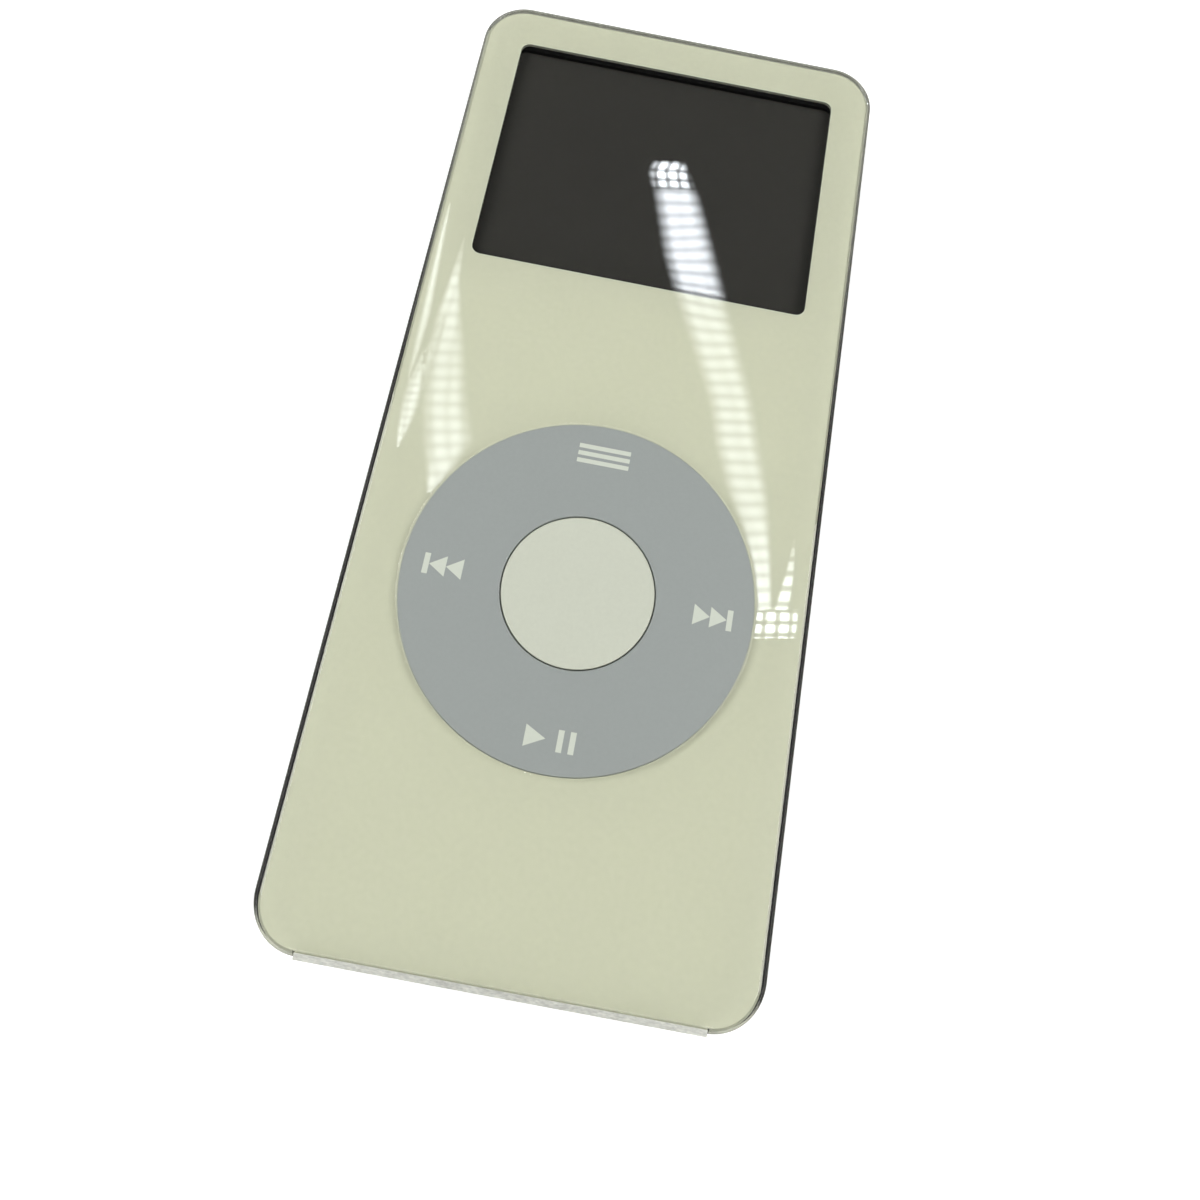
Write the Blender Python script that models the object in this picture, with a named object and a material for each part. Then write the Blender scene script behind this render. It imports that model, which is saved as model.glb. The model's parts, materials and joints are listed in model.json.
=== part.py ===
"""Slim digital audio player, as an assembly of separate pieces.

Frame: X is the width, Y the length with the screen towards +Y, Z the thickness with the front
face towards +Z. The origin is at the centre of the back face. Sizes below are in millimetres.
"""

import math

import bpy
from mathutils import Matrix

MM = 0.001

# Outside
WIDTH = 40.0
LENGTH = 90.0
THICKNESS = 6.9
CORNER_R = 4.2
WALL = 0.5
BACK_EDGE_R = 1.9
PART_LINE_Z = 4.8

# Front: a clear skin over a coloured tray
SKIN_INSET = 0.08
SKIN_PLATE = 0.9
SKIN_RIM = 0.4
SKIN_EDGE_R = 0.8
SKIN_LOW_Z = PART_LINE_Z + 0.1
TRAY_GAP = 0.1
TRAY_PLATE = 0.5
TRAY_WALL = 0.6
TRAY_LOW_Z = 4.3
TRAY_TOP_Z = THICKNESS - SKIN_PLATE - 0.05
TRAY_UNDER_Z = TRAY_TOP_Z - TRAY_PLATE
STRIP_FROM_SIDE = 4.25
STRIP_TOP_Z = THICKNESS - 0.1
STRIP_GAP = 0.12

# Screen
WINDOW_W = 31.93
WINDOW_H = 24.43
WINDOW_R = 0.9
WINDOW_TOP = 4.26
GLASS_W = 34.4
GLASS_H = 29.5
GLASS_DROP = 1.32
GLASS_Z = (3.9, 4.7)
LIGHT_Z = (3.05, 3.85)
FRAME_WALL = 0.2
FRAME_GAP = 0.06

# Touch ring, its board and the button
WHEEL_FROM_END = 31.38
WHEEL_R = 15.07
WHEEL_GAP = 0.12
WHEEL_INNER_R = 6.6
WHEEL_TOP_Z = THICKNESS - 0.15
WHEEL_PLATE = 0.75
WHEEL_FLANGE = 0.6
SKIRT_WALL = 0.9
BUTTON_GAP = 0.1
BUTTON_FLANGE = 0.6
BOARD_GAP = 0.2
BOARD_Z = (5.15, 5.65)
NUB_R = 0.8
NUB_LOW_Z = 4.95
BASE_Z = (4.1, 4.4)
DOME_R = 2.0
DOME_Z = (4.45, 4.75)
PIVOT_Z = 5.4

# Inner frame, boards and battery
MID_Z = (3.7, 4.0)
SNAP_WALL = 0.3
SNAP_GAP = 0.15
SNAP_Z = (3.2, 4.2)
SCREW_R = 0.45
SCREW_HEAD_R = 0.95
PCB_Z = (2.0, 2.6)
PCB_STRIP_W = 8.0
CHIP_GAP = 0.05
BATTERY_Z = (0.7, 3.55)
WIRE_R = 0.2

# Ports and hold switch
PORT_Z = 3.15
PORT_GAP = 0.1
DOCK_X = -3.6
DOCK_SLOT = (22.0, 2.6)
DOCK_WALL = 0.25
DOCK_DEEP = 6.0
JACK_FROM_SIDE = 7.0
JACK_R = 1.8
JACK_SIDE_WALL = 0.9
JACK_LID = 0.35
JACK_LONG = 11.8
HOLD_FROM_SIDE = 9.0
HOLD_Z = 2.6
HOLD_TRAVEL = 2.0
HOLD_KNOB = (5.0, 1.6)

# Worked out from the values above
HALF_W = WIDTH / 2
HALF_L = LENGTH / 2
SKIN_UNDER_Z = THICKNESS - SKIN_PLATE
INNER_W = HALF_W - WALL
INNER_L = HALF_L - WALL
STRIP_HALF = HALF_W - STRIP_FROM_SIDE
WINDOW_Y = HALF_L - WINDOW_TOP - WINDOW_H / 2
GLASS_Y = WINDOW_Y - GLASS_DROP
GLASS_LOW_Y = GLASS_Y - GLASS_H / 2
WHEEL_Y = -HALF_L + WHEEL_FROM_END
SKIRT_IN_R = WHEEL_R - SKIRT_WALL
FLANGE_R = WHEEL_R + WHEEL_FLANGE
BUTTON_R = WHEEL_INNER_R - BUTTON_GAP
BUTTON_FLANGE_R = WHEEL_INNER_R + BUTTON_FLANGE
BOARD_R = (BUTTON_FLANGE_R + 0.4, SKIRT_IN_R - BOARD_GAP)
SWITCH_R = sum(BOARD_R) / 2
BASE_R = FLANGE_R + 0.3
BASE_LOW_Y = WHEEL_Y - BASE_R
MOUTH_Y = -INNER_L + PORT_GAP
DOCK_BACK_Y = MOUTH_Y + DOCK_DEEP
JACK_X = HALF_W - JACK_FROM_SIDE
JACK_HALF = (JACK_R + JACK_SIDE_WALL, JACK_R + JACK_LID)
JACK_BACK_Y = MOUTH_Y + 0.35 + JACK_LONG
HOLD_X = -HALF_W + HOLD_FROM_SIDE
PCB_HALF_W = INNER_W - 1.0
PCB_STRIP_X = PCB_HALF_W - PCB_STRIP_W
PCB_LOW_Y = DOCK_BACK_Y + 0.6
PCB_SHELF_Y = JACK_BACK_Y + 2.25
PCB_FOLD_Y = GLASS_LOW_Y - 0.45
PCB_TOP_Y = INNER_L - 0.8
BATTERY_X = (-INNER_W + 2.3, PCB_STRIP_X - 1.1)
BATTERY_Y = (PCB_SHELF_Y + 2.5, PCB_FOLD_Y - 3.6)
MID_HALF_W = INNER_W - 0.9
MID_Y = (PCB_LOW_Y + 0.5, PCB_FOLD_Y - 1.1)
SCREW_X = HALF_W - 2.9
SCREWS = [(side * SCREW_X, y) for y in (PCB_SHELF_Y, MID_Y[1] - 1.1) for side in (-1, 1)]
ROUND = 64

# Colour, metallic and roughness of each material
MATERIALS = {
    "clear_plastic": ((0.86, 0.87, 0.84, 1.0), 0.0, 0.05),
    "face_plastic": ((0.56, 0.60, 0.44, 1.0), 0.0, 0.3),
    "button_plastic": ((0.60, 0.64, 0.52, 1.0), 0.0, 0.35),
    "ring_plastic": ((0.37, 0.40, 0.38, 1.0), 0.0, 0.5),
    "polished_steel": ((0.75, 0.75, 0.74, 1.0), 1.0, 0.12),
    "plain_steel": ((0.55, 0.55, 0.54, 1.0), 1.0, 0.35),
    "screen_glass": ((0.03, 0.03, 0.028, 1.0), 0.0, 0.1),
    "light_guide": ((0.80, 0.80, 0.80, 1.0), 0.0, 0.4),
    "foam": ((0.02, 0.02, 0.02, 1.0), 0.0, 0.9),
    "board": ((0.02, 0.12, 0.07, 1.0), 0.0, 0.4),
    "chip": ((0.02, 0.02, 0.02, 1.0), 0.0, 0.45),
    "black_plastic": ((0.03, 0.03, 0.03, 1.0), 0.0, 0.4),
    "gold": ((0.75, 0.55, 0.22, 1.0), 1.0, 0.25),
    "flex": ((0.42, 0.20, 0.05, 1.0), 0.0, 0.35),
    "foil": ((0.55, 0.56, 0.56, 1.0), 1.0, 0.4),
    "film": ((0.35, 0.28, 0.08, 1.0), 0.0, 0.3),
    "red_wire": ((0.50, 0.02, 0.02, 1.0), 0.0, 0.5),
    "black_wire": ((0.02, 0.02, 0.02, 1.0), 0.0, 0.5),
}
PIECES = {
    "clear_plastic": ("front_panel",),
    "face_plastic": ("front_backing",),
    "button_plastic": ("centre_button",),
    "ring_plastic": ("wheel_cap",),
    "polished_steel": ("rear_cover",),
    "plain_steel": (
        "snap_frame", "mid_frame", "wheel_base", "display_frame", "dock_shell", "crystal",
        "screw_1", "screw_2", "screw_3", "screw_4",
        "dome_select", "dome_up", "dome_down", "dome_left", "dome_right",
    ),
    "screen_glass": ("display_glass",),
    "light_guide": ("display_backlight",),
    "foam": ("display_gasket", "battery_pad"),
    "board": ("logic_board", "touch_board", "battery_tab"),
    "chip": (
        "processor", "memory_ram", "flash_memory_1", "flash_memory_2",
        "power_chip", "charge_chip", "audio_chip", "inductor",
    ),
    "black_plastic": (
        "dock_tongue", "jack_housing", "jack_collar", "hold_knob", "hold_actuator", "hold_switch",
        "display_connector", "battery_connector", "wheel_connector",
    ),
    "gold": ("dock_contacts", "jack_terminal_1", "jack_terminal_2"),
    "flex": ("display_flex", "wheel_flex"),
    "foil": ("battery_pack",),
    "film": ("insulating_film",),
    "red_wire": ("battery_wire_1",),
    "black_wire": ("battery_wire_2",),
}



def rounded(width, length, radius, z, centre=(0.0, 0.0), steps=5):
    """Points of a rounded rectangle at height z, counter-clockwise seen from +Z."""
    points = []
    for corner in range(4):
        sign_x = 1 if corner in (0, 3) else -1
        sign_y = 1 if corner < 2 else -1
        cx = centre[0] + sign_x * (width / 2 - radius)
        cy = centre[1] + sign_y * (length / 2 - radius)
        for step in range(steps + 1):
            angle = math.pi / 2 * (corner + step / steps)
            points.append((cx + radius * math.cos(angle), cy + radius * math.sin(angle), z))
    return points


def circle(radius, z, centre=(0.0, 0.0), steps=ROUND):
    """Points of a circle at height z, counter-clockwise seen from +Z."""
    angles = [2 * math.pi * step / steps for step in range(steps)]
    return [(centre[0] + radius * math.cos(a), centre[1] + radius * math.sin(a), z) for a in angles]


def node(name, points, faces):
    """An object from points in millimetres."""
    mesh = bpy.data.meshes.new(name)
    mesh.from_pydata([[value * MM for value in point] for point in points], [], faces)
    mesh.update()
    made = bpy.data.objects.new(name, mesh)
    bpy.context.scene.collection.objects.link(made)
    return made


def loft(name, rings, closed=False):
    """A skin over rings of equal count: capped at both ends, or joined end to end."""
    count = len(rings[0])
    points = [point for ring in rings for point in ring]
    faces = []
    for low in range(len(rings) if closed else len(rings) - 1):
        high = (low + 1) % len(rings)
        for i in range(count):
            j = (i + 1) % count
            faces.append((low * count + i, low * count + j, high * count + j, high * count + i))
    if not closed:
        faces.append(tuple(reversed(range(count))))
        faces.append(tuple(range((len(rings) - 1) * count, len(rings) * count)))
    return node(name, points, faces)


def prism(name, outline, low, high):
    """A straight solid on a counter-clockwise outline in XY."""
    return loft(name, [[(x, y, z) for x, y in outline] for z in (low, high)])


def box(name, x, y, z):
    """A box from its limits on each axis."""
    return prism(name, [(x[0], y[0]), (x[1], y[0]), (x[1], y[1]), (x[0], y[1])], z[0], z[1])


def block(name, centre, size, z):
    """A box from its centre and size in XY."""
    half_x, half_y = size[0] / 2, size[1] / 2
    x = (centre[0] - half_x, centre[0] + half_x)
    return box(name, x, (centre[1] - half_y, centre[1] + half_y), z)


def disc(name, radius, low, high, centre=(0.0, 0.0), steps=ROUND):
    """A straight round solid."""
    return loft(name, [circle(radius, z, centre, steps) for z in (low, high)])


def turned(name, profile, centre, steps=ROUND, closed=True):
    """A solid of revolution from a profile of (radius, height) pairs."""
    return loft(name, [circle(r, z, centre, steps) for r, z in profile], closed)


def ribbon(name, path, thick, x):
    """A thin strip of width x that follows a path of (y, z) points."""
    sides = ([], [])
    for i, (y, z) in enumerate(path):
        ahead = path[min(i + 1, len(path) - 1)]
        behind = path[max(i - 1, 0)]
        dy, dz = ahead[0] - behind[0], ahead[1] - behind[1]
        scale = thick / 2 / math.hypot(dy, dz)
        sides[0].append((y - dz * scale, z + dy * scale))
        sides[1].append((y + dz * scale, z - dy * scale))
    outline = sides[0] + sides[1][::-1]
    area = sum(a[0] * b[1] - b[0] * a[1] for a, b in zip(outline, outline[1:] + outline[:1]))
    outline = outline if area > 0 else outline[::-1]
    return loft(name, [[(value, y, z) for y, z in outline] for value in x])


def tube(name, path, radius, steps=8):
    """A round wire through points that all lie in one plane of constant x."""
    rings = []
    for i, (x, y, z) in enumerate(path):
        ahead = path[min(i + 1, len(path) - 1)]
        behind = path[max(i - 1, 0)]
        dy, dz = ahead[1] - behind[1], ahead[2] - behind[2]
        scale = radius / math.hypot(dy, dz)
        ring = []
        for step in range(steps):
            angle = 2 * math.pi * step / steps
            side = math.cos(angle) * radius
            up = math.sin(angle) * scale
            ring.append((x + side, y - dz * up, z + dy * up))
        rings.append(ring)
    return loft(name, [ring[::-1] for ring in rings])


def along_y(made, at):
    """Turns a solid built along +Z so that it runs along -Y, then moves it."""
    turn = Matrix.Rotation(math.pi / 2, 4, "X")
    made.data.transform(Matrix.Translation([value * MM for value in at]) @ turn)
    return made


def combine(target, tool, operation):
    """Joins or cuts target with tool, and removes tool."""
    modifier = target.modifiers.new(operation.lower(), "BOOLEAN")
    modifier.object = tool
    modifier.operation = operation
    modifier.solver = "EXACT"
    graph = bpy.context.evaluated_depsgraph_get()
    mesh = bpy.data.meshes.new_from_object(target.evaluated_get(graph))
    target.modifiers.clear()
    target.data = mesh
    bpy.data.objects.remove(tool)


def cut(target, *tools):
    """Cuts each tool from target."""
    for tool in tools:
        combine(target, tool, "DIFFERENCE")
    return target


def fuse(target, *tools):
    """Joins each tool to target."""
    for tool in tools:
        combine(target, tool, "UNION")
    return target


def build_front():
    """The clear skin and the coloured tray under it."""
    width, length = WIDTH - 2 * SKIN_INSET, LENGTH - 2 * SKIN_INSET
    inner_w, inner_l = width - 2 * SKIN_RIM, length - 2 * SKIN_RIM
    rings = [
        rounded(inner_w, inner_l, CORNER_R - SKIN_RIM, SKIN_UNDER_Z),
        rounded(inner_w, inner_l, CORNER_R - SKIN_RIM, SKIN_LOW_Z),
        rounded(width, length, CORNER_R, SKIN_LOW_Z),
    ]
    for step in range(4):
        angle = math.pi / 2 * step / 3
        inset = SKIN_EDGE_R * (1 - math.cos(angle))
        z = THICKNESS - SKIN_EDGE_R * (1 - math.sin(angle))
        rings.append(rounded(width - 2 * inset, length - 2 * inset, CORNER_R - inset, z))
    skin = loft("front_panel", rings)
    centre = (0.0, WHEEL_Y)
    cut(
        skin,
        disc("hole", WHEEL_R + WHEEL_GAP, 5.0, 8.0, centre),
        box(
            "notch",
            (-STRIP_HALF - STRIP_GAP, STRIP_HALF + STRIP_GAP),
            (-HALF_L - 1, -HALF_L + WALL + STRIP_GAP),
            (4.0, 8.0),
        ),
    )

    outer_w, outer_l = WIDTH - 2 * (WALL + TRAY_GAP), LENGTH - 2 * (WALL + TRAY_GAP)
    outer_r = CORNER_R - WALL - TRAY_GAP
    inner_w, inner_l = outer_w - 2 * TRAY_WALL, outer_l - 2 * TRAY_WALL
    tray = loft(
        "front_backing",
        [
            rounded(inner_w, inner_l, outer_r - TRAY_WALL, TRAY_UNDER_Z),
            rounded(inner_w, inner_l, outer_r - TRAY_WALL, TRAY_LOW_Z),
            rounded(outer_w, outer_l, outer_r, TRAY_LOW_Z),
            rounded(outer_w, outer_l, outer_r, TRAY_TOP_Z),
        ],
    )
    cut(
        tray,
        disc("hole", WHEEL_R + WHEEL_GAP, 5.0, 8.0, centre),
        loft(
            "window",
            [rounded(WINDOW_W, WINDOW_H, WINDOW_R, z, (0.0, WINDOW_Y), 3) for z in (5.0, 8.0)],
        ),
        box(
            "ports",
            (-INNER_W + 2.5, INNER_W - 2.5),
            (-HALF_L, -HALF_L + 2.0),
            (4.0, TRAY_UNDER_Z + 0.02),
        ),
    )


def build_rear():
    """The steel tub: one wall rises at the bottom end as a strip beside the skin."""
    rings = []
    for step in range(5):
        angle = math.pi / 2 * step / 4
        inset = BACK_EDGE_R * (1 - math.sin(angle))
        z = BACK_EDGE_R * (1 - math.cos(angle))
        rings.append(rounded(WIDTH - 2 * inset, LENGTH - 2 * inset, CORNER_R - inset, z))
    rings.append(rounded(WIDTH, LENGTH, CORNER_R, STRIP_TOP_Z))
    width, length, radius = WIDTH - 2 * WALL, LENGTH - 2 * WALL, CORNER_R - WALL
    rings.append(rounded(width, length, radius, STRIP_TOP_Z))
    inner_edge = BACK_EDGE_R - WALL
    for step in range(4, -1, -1):
        angle = math.pi / 2 * step / 4
        inset = inner_edge * (1 - math.sin(angle))
        z = WALL + inner_edge * (1 - math.cos(angle))
        rings.append(rounded(width - 2 * inset, length - 2 * inset, radius - inset, z))
    tub = loft("rear_cover", rings)

    low = -HALF_L - 1
    outline = [
        (-HALF_W - 1, low),
        (-STRIP_HALF, low),
        (-STRIP_HALF, -HALF_L + 2),
        (STRIP_HALF, -HALF_L + 2),
        (STRIP_HALF, low),
        (HALF_W + 1, low),
        (HALF_W + 1, HALF_L + 1),
        (-HALF_W - 1, HALF_L + 1),
    ]
    dock = loft(
        "dock",
        [rounded(*DOCK_SLOT, 0.9, z, steps=4) for z in (0.0, 3.0)],
    )
    jack = disc("jack", JACK_R + 0.4, 0.0, 3.0, steps=32)
    slot_w = HOLD_KNOB[0] + HOLD_TRAVEL + 0.3
    hold = loft(
        "hold",
        [rounded(slot_w, HOLD_KNOB[1] + 0.2, 0.5, z, steps=3) for z in (0.0, 3.0)],
    )
    cut(
        tub,
        prism("above", outline, PART_LINE_Z, 9.0),
        along_y(dock, (DOCK_X, -HALF_L + 1.5, PORT_Z)),
        along_y(jack, (JACK_X, -HALF_L + 1.5, PORT_Z)),
        along_y(hold, (HOLD_X + HOLD_TRAVEL / 2, HALF_L + 1.5, HOLD_Z)),
    )


def build_wheel():
    """The touch ring, the board it rocks on, the button, and the switches under them."""
    centre = (0.0, WHEEL_Y)
    plate_low = WHEEL_TOP_Z - WHEEL_PLATE
    ring = turned(
        "wheel_cap",
        [
            (WHEEL_INNER_R, plate_low),
            (SKIRT_IN_R, plate_low),
            (SKIRT_IN_R, 4.85),
            (FLANGE_R, 4.85),
            (FLANGE_R, 5.1),
            (WHEEL_R, 5.1),
            (WHEEL_R, WHEEL_TOP_Z - 0.08),
            (WHEEL_R - 0.08, WHEEL_TOP_Z),
            (WHEEL_INNER_R + 0.08, WHEEL_TOP_Z),
            (WHEEL_INNER_R, WHEEL_TOP_Z - 0.08),
        ],
        centre,
    )
    for side in (-1, 1):
        at = (side * SWITCH_R, WHEEL_Y)
        fuse(ring, disc("nub", NUB_R, NUB_LOW_Z, plate_low + 0.2, at, 16))

    low, high = BOARD_Z
    board = turned(
        "touch_board",
        [(BOARD_R[0], low), (BOARD_R[1], low), (BOARD_R[1], high), (BOARD_R[0], high)],
        centre,
    )
    for side in (-1, 1):
        across = (side * SWITCH_R, WHEEL_Y)
        cut(board, disc("hole", NUB_R + 0.5, low - 1, high + 1, across, 16))
        upright = (0.0, WHEEL_Y + side * SWITCH_R)
        fuse(board, disc("nub", NUB_R, NUB_LOW_Z, low + 0.2, upright, 16))

    turned(
        "centre_button",
        [
            (1.2, NUB_LOW_Z),
            (1.2, 5.3),
            (BUTTON_FLANGE_R, 5.3),
            (BUTTON_FLANGE_R, 5.6),
            (BUTTON_R, 5.6),
            (BUTTON_R, WHEEL_TOP_Z - 0.1),
            (BUTTON_R - 0.1, WHEEL_TOP_Z),
        ],
        centre,
        48,
        closed=False,
    )
    disc("wheel_base", BASE_R, *BASE_Z, centre, 48)
    places = {
        "dome_select": (0, 0),
        "dome_up": (0, SWITCH_R),
        "dome_down": (0, -SWITCH_R),
        "dome_left": (-SWITCH_R, 0),
        "dome_right": (SWITCH_R, 0),
    }
    for name, (x, y) in places.items():
        at = (x, WHEEL_Y + y)
        profile = [(DOME_R, DOME_Z[0]), (0.8 * DOME_R, DOME_Z[1] - 0.1), (0.45 * DOME_R, DOME_Z[1])]
        turned(name, profile, at, 20, closed=False)
    bends = [(0.2, 4.25), (2.25, 4.25), (2.65, 4.0), (2.75, 3.4), (3.15, 3.05), (3.35, 3.0)]
    ribbon("wheel_flex", [(BASE_LOW_Y - out, z) for out, z in bends], 0.12, (-0.5, 4.5))


def build_screen():
    """The screen's glass, light, metal tray, foam surround and flex."""
    centre = (0.0, WINDOW_Y)
    gasket_z = (GLASS_Z[1] + 0.05, TRAY_UNDER_Z - 0.05)
    hole = (WINDOW_W + 0.3, WINDOW_H + 0.3)
    rim = (WINDOW_W + 3.0, WINDOW_H + 3.4)
    loft(
        "display_gasket",
        [
            rounded(*hole, 0.8, gasket_z[0], centre, 2),
            rounded(*rim, 0.8, gasket_z[0], centre, 2),
            rounded(*rim, 0.8, gasket_z[1], centre, 2),
            rounded(*hole, 0.8, gasket_z[1], centre, 2),
        ],
        closed=True,
    )
    at = (0.0, GLASS_Y)
    block("display_glass", at, (GLASS_W, GLASS_H), GLASS_Z)
    block("display_backlight", at, (GLASS_W, GLASS_H), LIGHT_Z)
    inner = (GLASS_W + 2 * FRAME_GAP, GLASS_H + 2 * FRAME_GAP)
    outer = (inner[0] + 2 * FRAME_WALL, inner[1] + 2 * FRAME_WALL)
    floor_z = LIGHT_Z[0] - FRAME_GAP
    loft(
        "display_frame",
        [
            rounded(*outer, 0.3, floor_z - FRAME_WALL, at, 2),
            rounded(*outer, 0.3, GLASS_Z[0] + 0.3, at, 2),
            rounded(*inner, 0.1, GLASS_Z[0] + 0.3, at, 2),
            rounded(*inner, 0.1, floor_z, at, 2),
        ],
    )
    fold = GLASS_LOW_Y - 1.0
    start, end = (GLASS_LOW_Y - 0.05, 4.5), (PCB_FOLD_Y + 1.4, 1.72)
    bends = [(fold + 0.3, 4.5), (fold, 4.2), (fold, 2.0), (fold + 0.3, 1.72)]
    ribbon("display_flex", [start, *bends, end], 0.12, (-6.0, 6.0))


def build_inner_frame():
    """The mid plate, the spring frame fixed in the tub, and the screws that join them."""
    mid = box("mid_frame", (-MID_HALF_W, MID_HALF_W), MID_Y, MID_Z)
    rib_y = (MID_Y[1] - 4.9, MID_Y[1] - 3.9)
    fuse(mid, box("rib", (-14.0, 14.0), rib_y, (MID_Z[0] + 0.05, MID_Z[1] + 0.3)))
    jack_x = (JACK_X - JACK_HALF[0] - 0.75, JACK_X + JACK_HALF[0] + 0.4)
    cut(
        mid,
        box("jack", jack_x, (-HALF_L, JACK_BACK_Y + 0.45), (3.0, 5.0)),
        box("flex", (-1.0, 5.0), (BASE_LOW_Y - 4.05, BASE_LOW_Y - 1.85), (3.0, 5.0)),
    )

    outer = (WIDTH - 2 * (WALL + SNAP_GAP), LENGTH - 2 * (WALL + SNAP_GAP))
    inner = (outer[0] - 2 * SNAP_WALL, outer[1] - 2 * SNAP_WALL)
    radius = CORNER_R - WALL - SNAP_GAP
    snap = loft(
        "snap_frame",
        [
            rounded(*inner, radius - SNAP_WALL, SNAP_Z[0]),
            rounded(*outer, radius, SNAP_Z[0]),
            rounded(*outer, radius, SNAP_Z[1]),
            rounded(*inner, radius - SNAP_WALL, SNAP_Z[1]),
        ],
        closed=True,
    )
    for number, (x, y) in enumerate(SCREWS, 1):
        side = math.copysign(1, x)
        wall_x = side * (outer[0] / 2 - 0.1)
        span = sorted((wall_x, x - side * 1.1))
        tab = box("tab", span, (y - 1.0, y + 1.0), (SNAP_Z[0] + 0.05, MID_Z[0] - 0.07))
        fuse(snap, tab)
        cut(snap, disc("hole", SCREW_R + 0.05, 2.0, 5.0, (x, y), 12))
        cut(mid, disc("hole", SCREW_R + 0.05, 2.0, 5.0, (x, y), 12))
        turned(
            f"screw_{number}",
            [
                (SCREW_R, 2.9),
                (SCREW_R, MID_Z[1] + 0.03),
                (SCREW_HEAD_R, MID_Z[1] + 0.03),
                (SCREW_HEAD_R, MID_Z[1] + 0.2),
                (SCREW_HEAD_R - 0.15, MID_Z[1] + 0.28),
            ],
            (x, y),
            12,
            closed=False,
        )
        cross = box("cross", (x - 0.55, x + 0.55), (y - 0.12, y + 0.12), (MID_Z[1] + 0.13, 5.0))
        cut(bpy.data.objects[f"screw_{number}"], cross)
    cut(
        snap,
        box("ports", (-INNER_W + 2.3, INNER_W - 2.3), (-HALF_L, -HALF_L + 2), (3.0, 5.0)),
        box("hold", (HOLD_X - 6.2, HOLD_X + 8.0), (HALF_L - 2, HALF_L), (3.0, HOLD_Z + 1.05)),
    )


def build_electronics():
    """The logic board, what is soldered to it, and the film behind it."""
    low, high = PCB_Z
    jack_x = JACK_X - JACK_HALF[0] - 0.7
    corner = 2.2
    outline = [
        (-PCB_HALF_W, PCB_LOW_Y),
        (jack_x, PCB_LOW_Y),
        (jack_x, JACK_BACK_Y + 0.65),
        (PCB_HALF_W, JACK_BACK_Y + 0.65),
        (PCB_HALF_W, PCB_TOP_Y - corner),
        (PCB_HALF_W - corner, PCB_TOP_Y),
        (-PCB_HALF_W + corner, PCB_TOP_Y),
        (-PCB_HALF_W, PCB_TOP_Y - corner),
        (-PCB_HALF_W, PCB_FOLD_Y),
        (PCB_STRIP_X, PCB_FOLD_Y),
        (PCB_STRIP_X, PCB_SHELF_Y),
        (-PCB_HALF_W, PCB_SHELF_Y),
    ]
    prism("logic_board", outline, low, high)
    strip_x = PCB_STRIP_X + PCB_STRIP_W / 2
    chips = {
        "processor": ((-13.2, GLASS_Y + 5.8), (8.0, 8.0), 0.9),
        "memory_ram": ((-13.2, GLASS_Y - 4.7), (7.0, 9.0), 0.8),
        "flash_memory_1": ((11.0, GLASS_Y + 2.3), (12.0, 20.0), 1.0),
        "flash_memory_2": ((-2.2, GLASS_Y + 2.3), (12.0, 20.0), 1.0),
        "crystal": ((-14.0, GLASS_Y - 11.7), (3.2, 1.6), 0.7),
        "power_chip": ((strip_x, WHEEL_Y + 18.9), (5.0, 5.0), 0.8),
        "inductor": ((strip_x, WHEEL_Y + 10.9), (3.8, 3.8), 1.0),
        "charge_chip": ((strip_x, WHEEL_Y + 2.4), (4.0, 4.0), 0.8),
        "audio_chip": ((strip_x, WHEEL_Y - 8.1), (5.0, 5.0), 0.8),
        "display_connector": ((0.0, PCB_FOLD_Y + 3.0), (12.6, 2.6), 1.0),
    }
    for name, (centre, size, tall) in chips.items():
        top = low - CHIP_GAP
        block(name, centre, size, (top - tall, top))
    block("battery_connector", (-8.0, PCB_SHELF_Y - 3.6), (4.4, 3.0), (high + CHIP_GAP, 3.5))
    block("wheel_connector", (2.0, BASE_LOW_Y - 4.55), (5.8, 1.8), (high + CHIP_GAP, 3.4))
    size = (2 * PCB_HALF_W - 0.6, PCB_TOP_Y - PCB_FOLD_Y - 1.7)
    centre = (0.0, (PCB_TOP_Y + PCB_FOLD_Y) / 2)
    levels = (WALL + 0.03, WALL + 0.11)
    loft("insulating_film", [rounded(*size, 1.5, z, centre, 3) for z in levels])


def build_battery():
    """The pouch cell with its terminal board, wires and adhesive pad."""
    centre = (sum(BATTERY_X) / 2, sum(BATTERY_Y) / 2)
    size = (BATTERY_X[1] - BATTERY_X[0], BATTERY_Y[1] - BATTERY_Y[0])
    low, high = BATTERY_Z
    rings = []
    for z, inset in ((low, 0.5), (low + 0.35, 0.05), (high - 0.35, 0.0), (high, 0.5)):
        rings.append(rounded(size[0] - 2 * inset, size[1] - 2 * inset, 1.2, z, centre, 3))
    loft("battery_pack", rings)
    block("battery_tab", (-8.0, BATTERY_Y[0] - 0.8), (9.0, 1.3), (2.75, 3.25))
    start_y, end_y = BATTERY_Y[0] - 1.5, PCB_SHELF_Y - 2.05
    step_y = (end_y - start_y) / 3
    heights = (3.05, 3.2, 3.2, 3.05)
    for number, x in enumerate((-9.0, -7.0), 1):
        path = [(x, start_y + step_y * i, z) for i, z in enumerate(heights)]
        tube(f"battery_wire_{number}", path, WIRE_R)
    pad = (size[0] - 3.0, size[1] - 2.0)
    block("battery_pad", centre, pad, (WALL + 0.03, low - 0.03))


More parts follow.
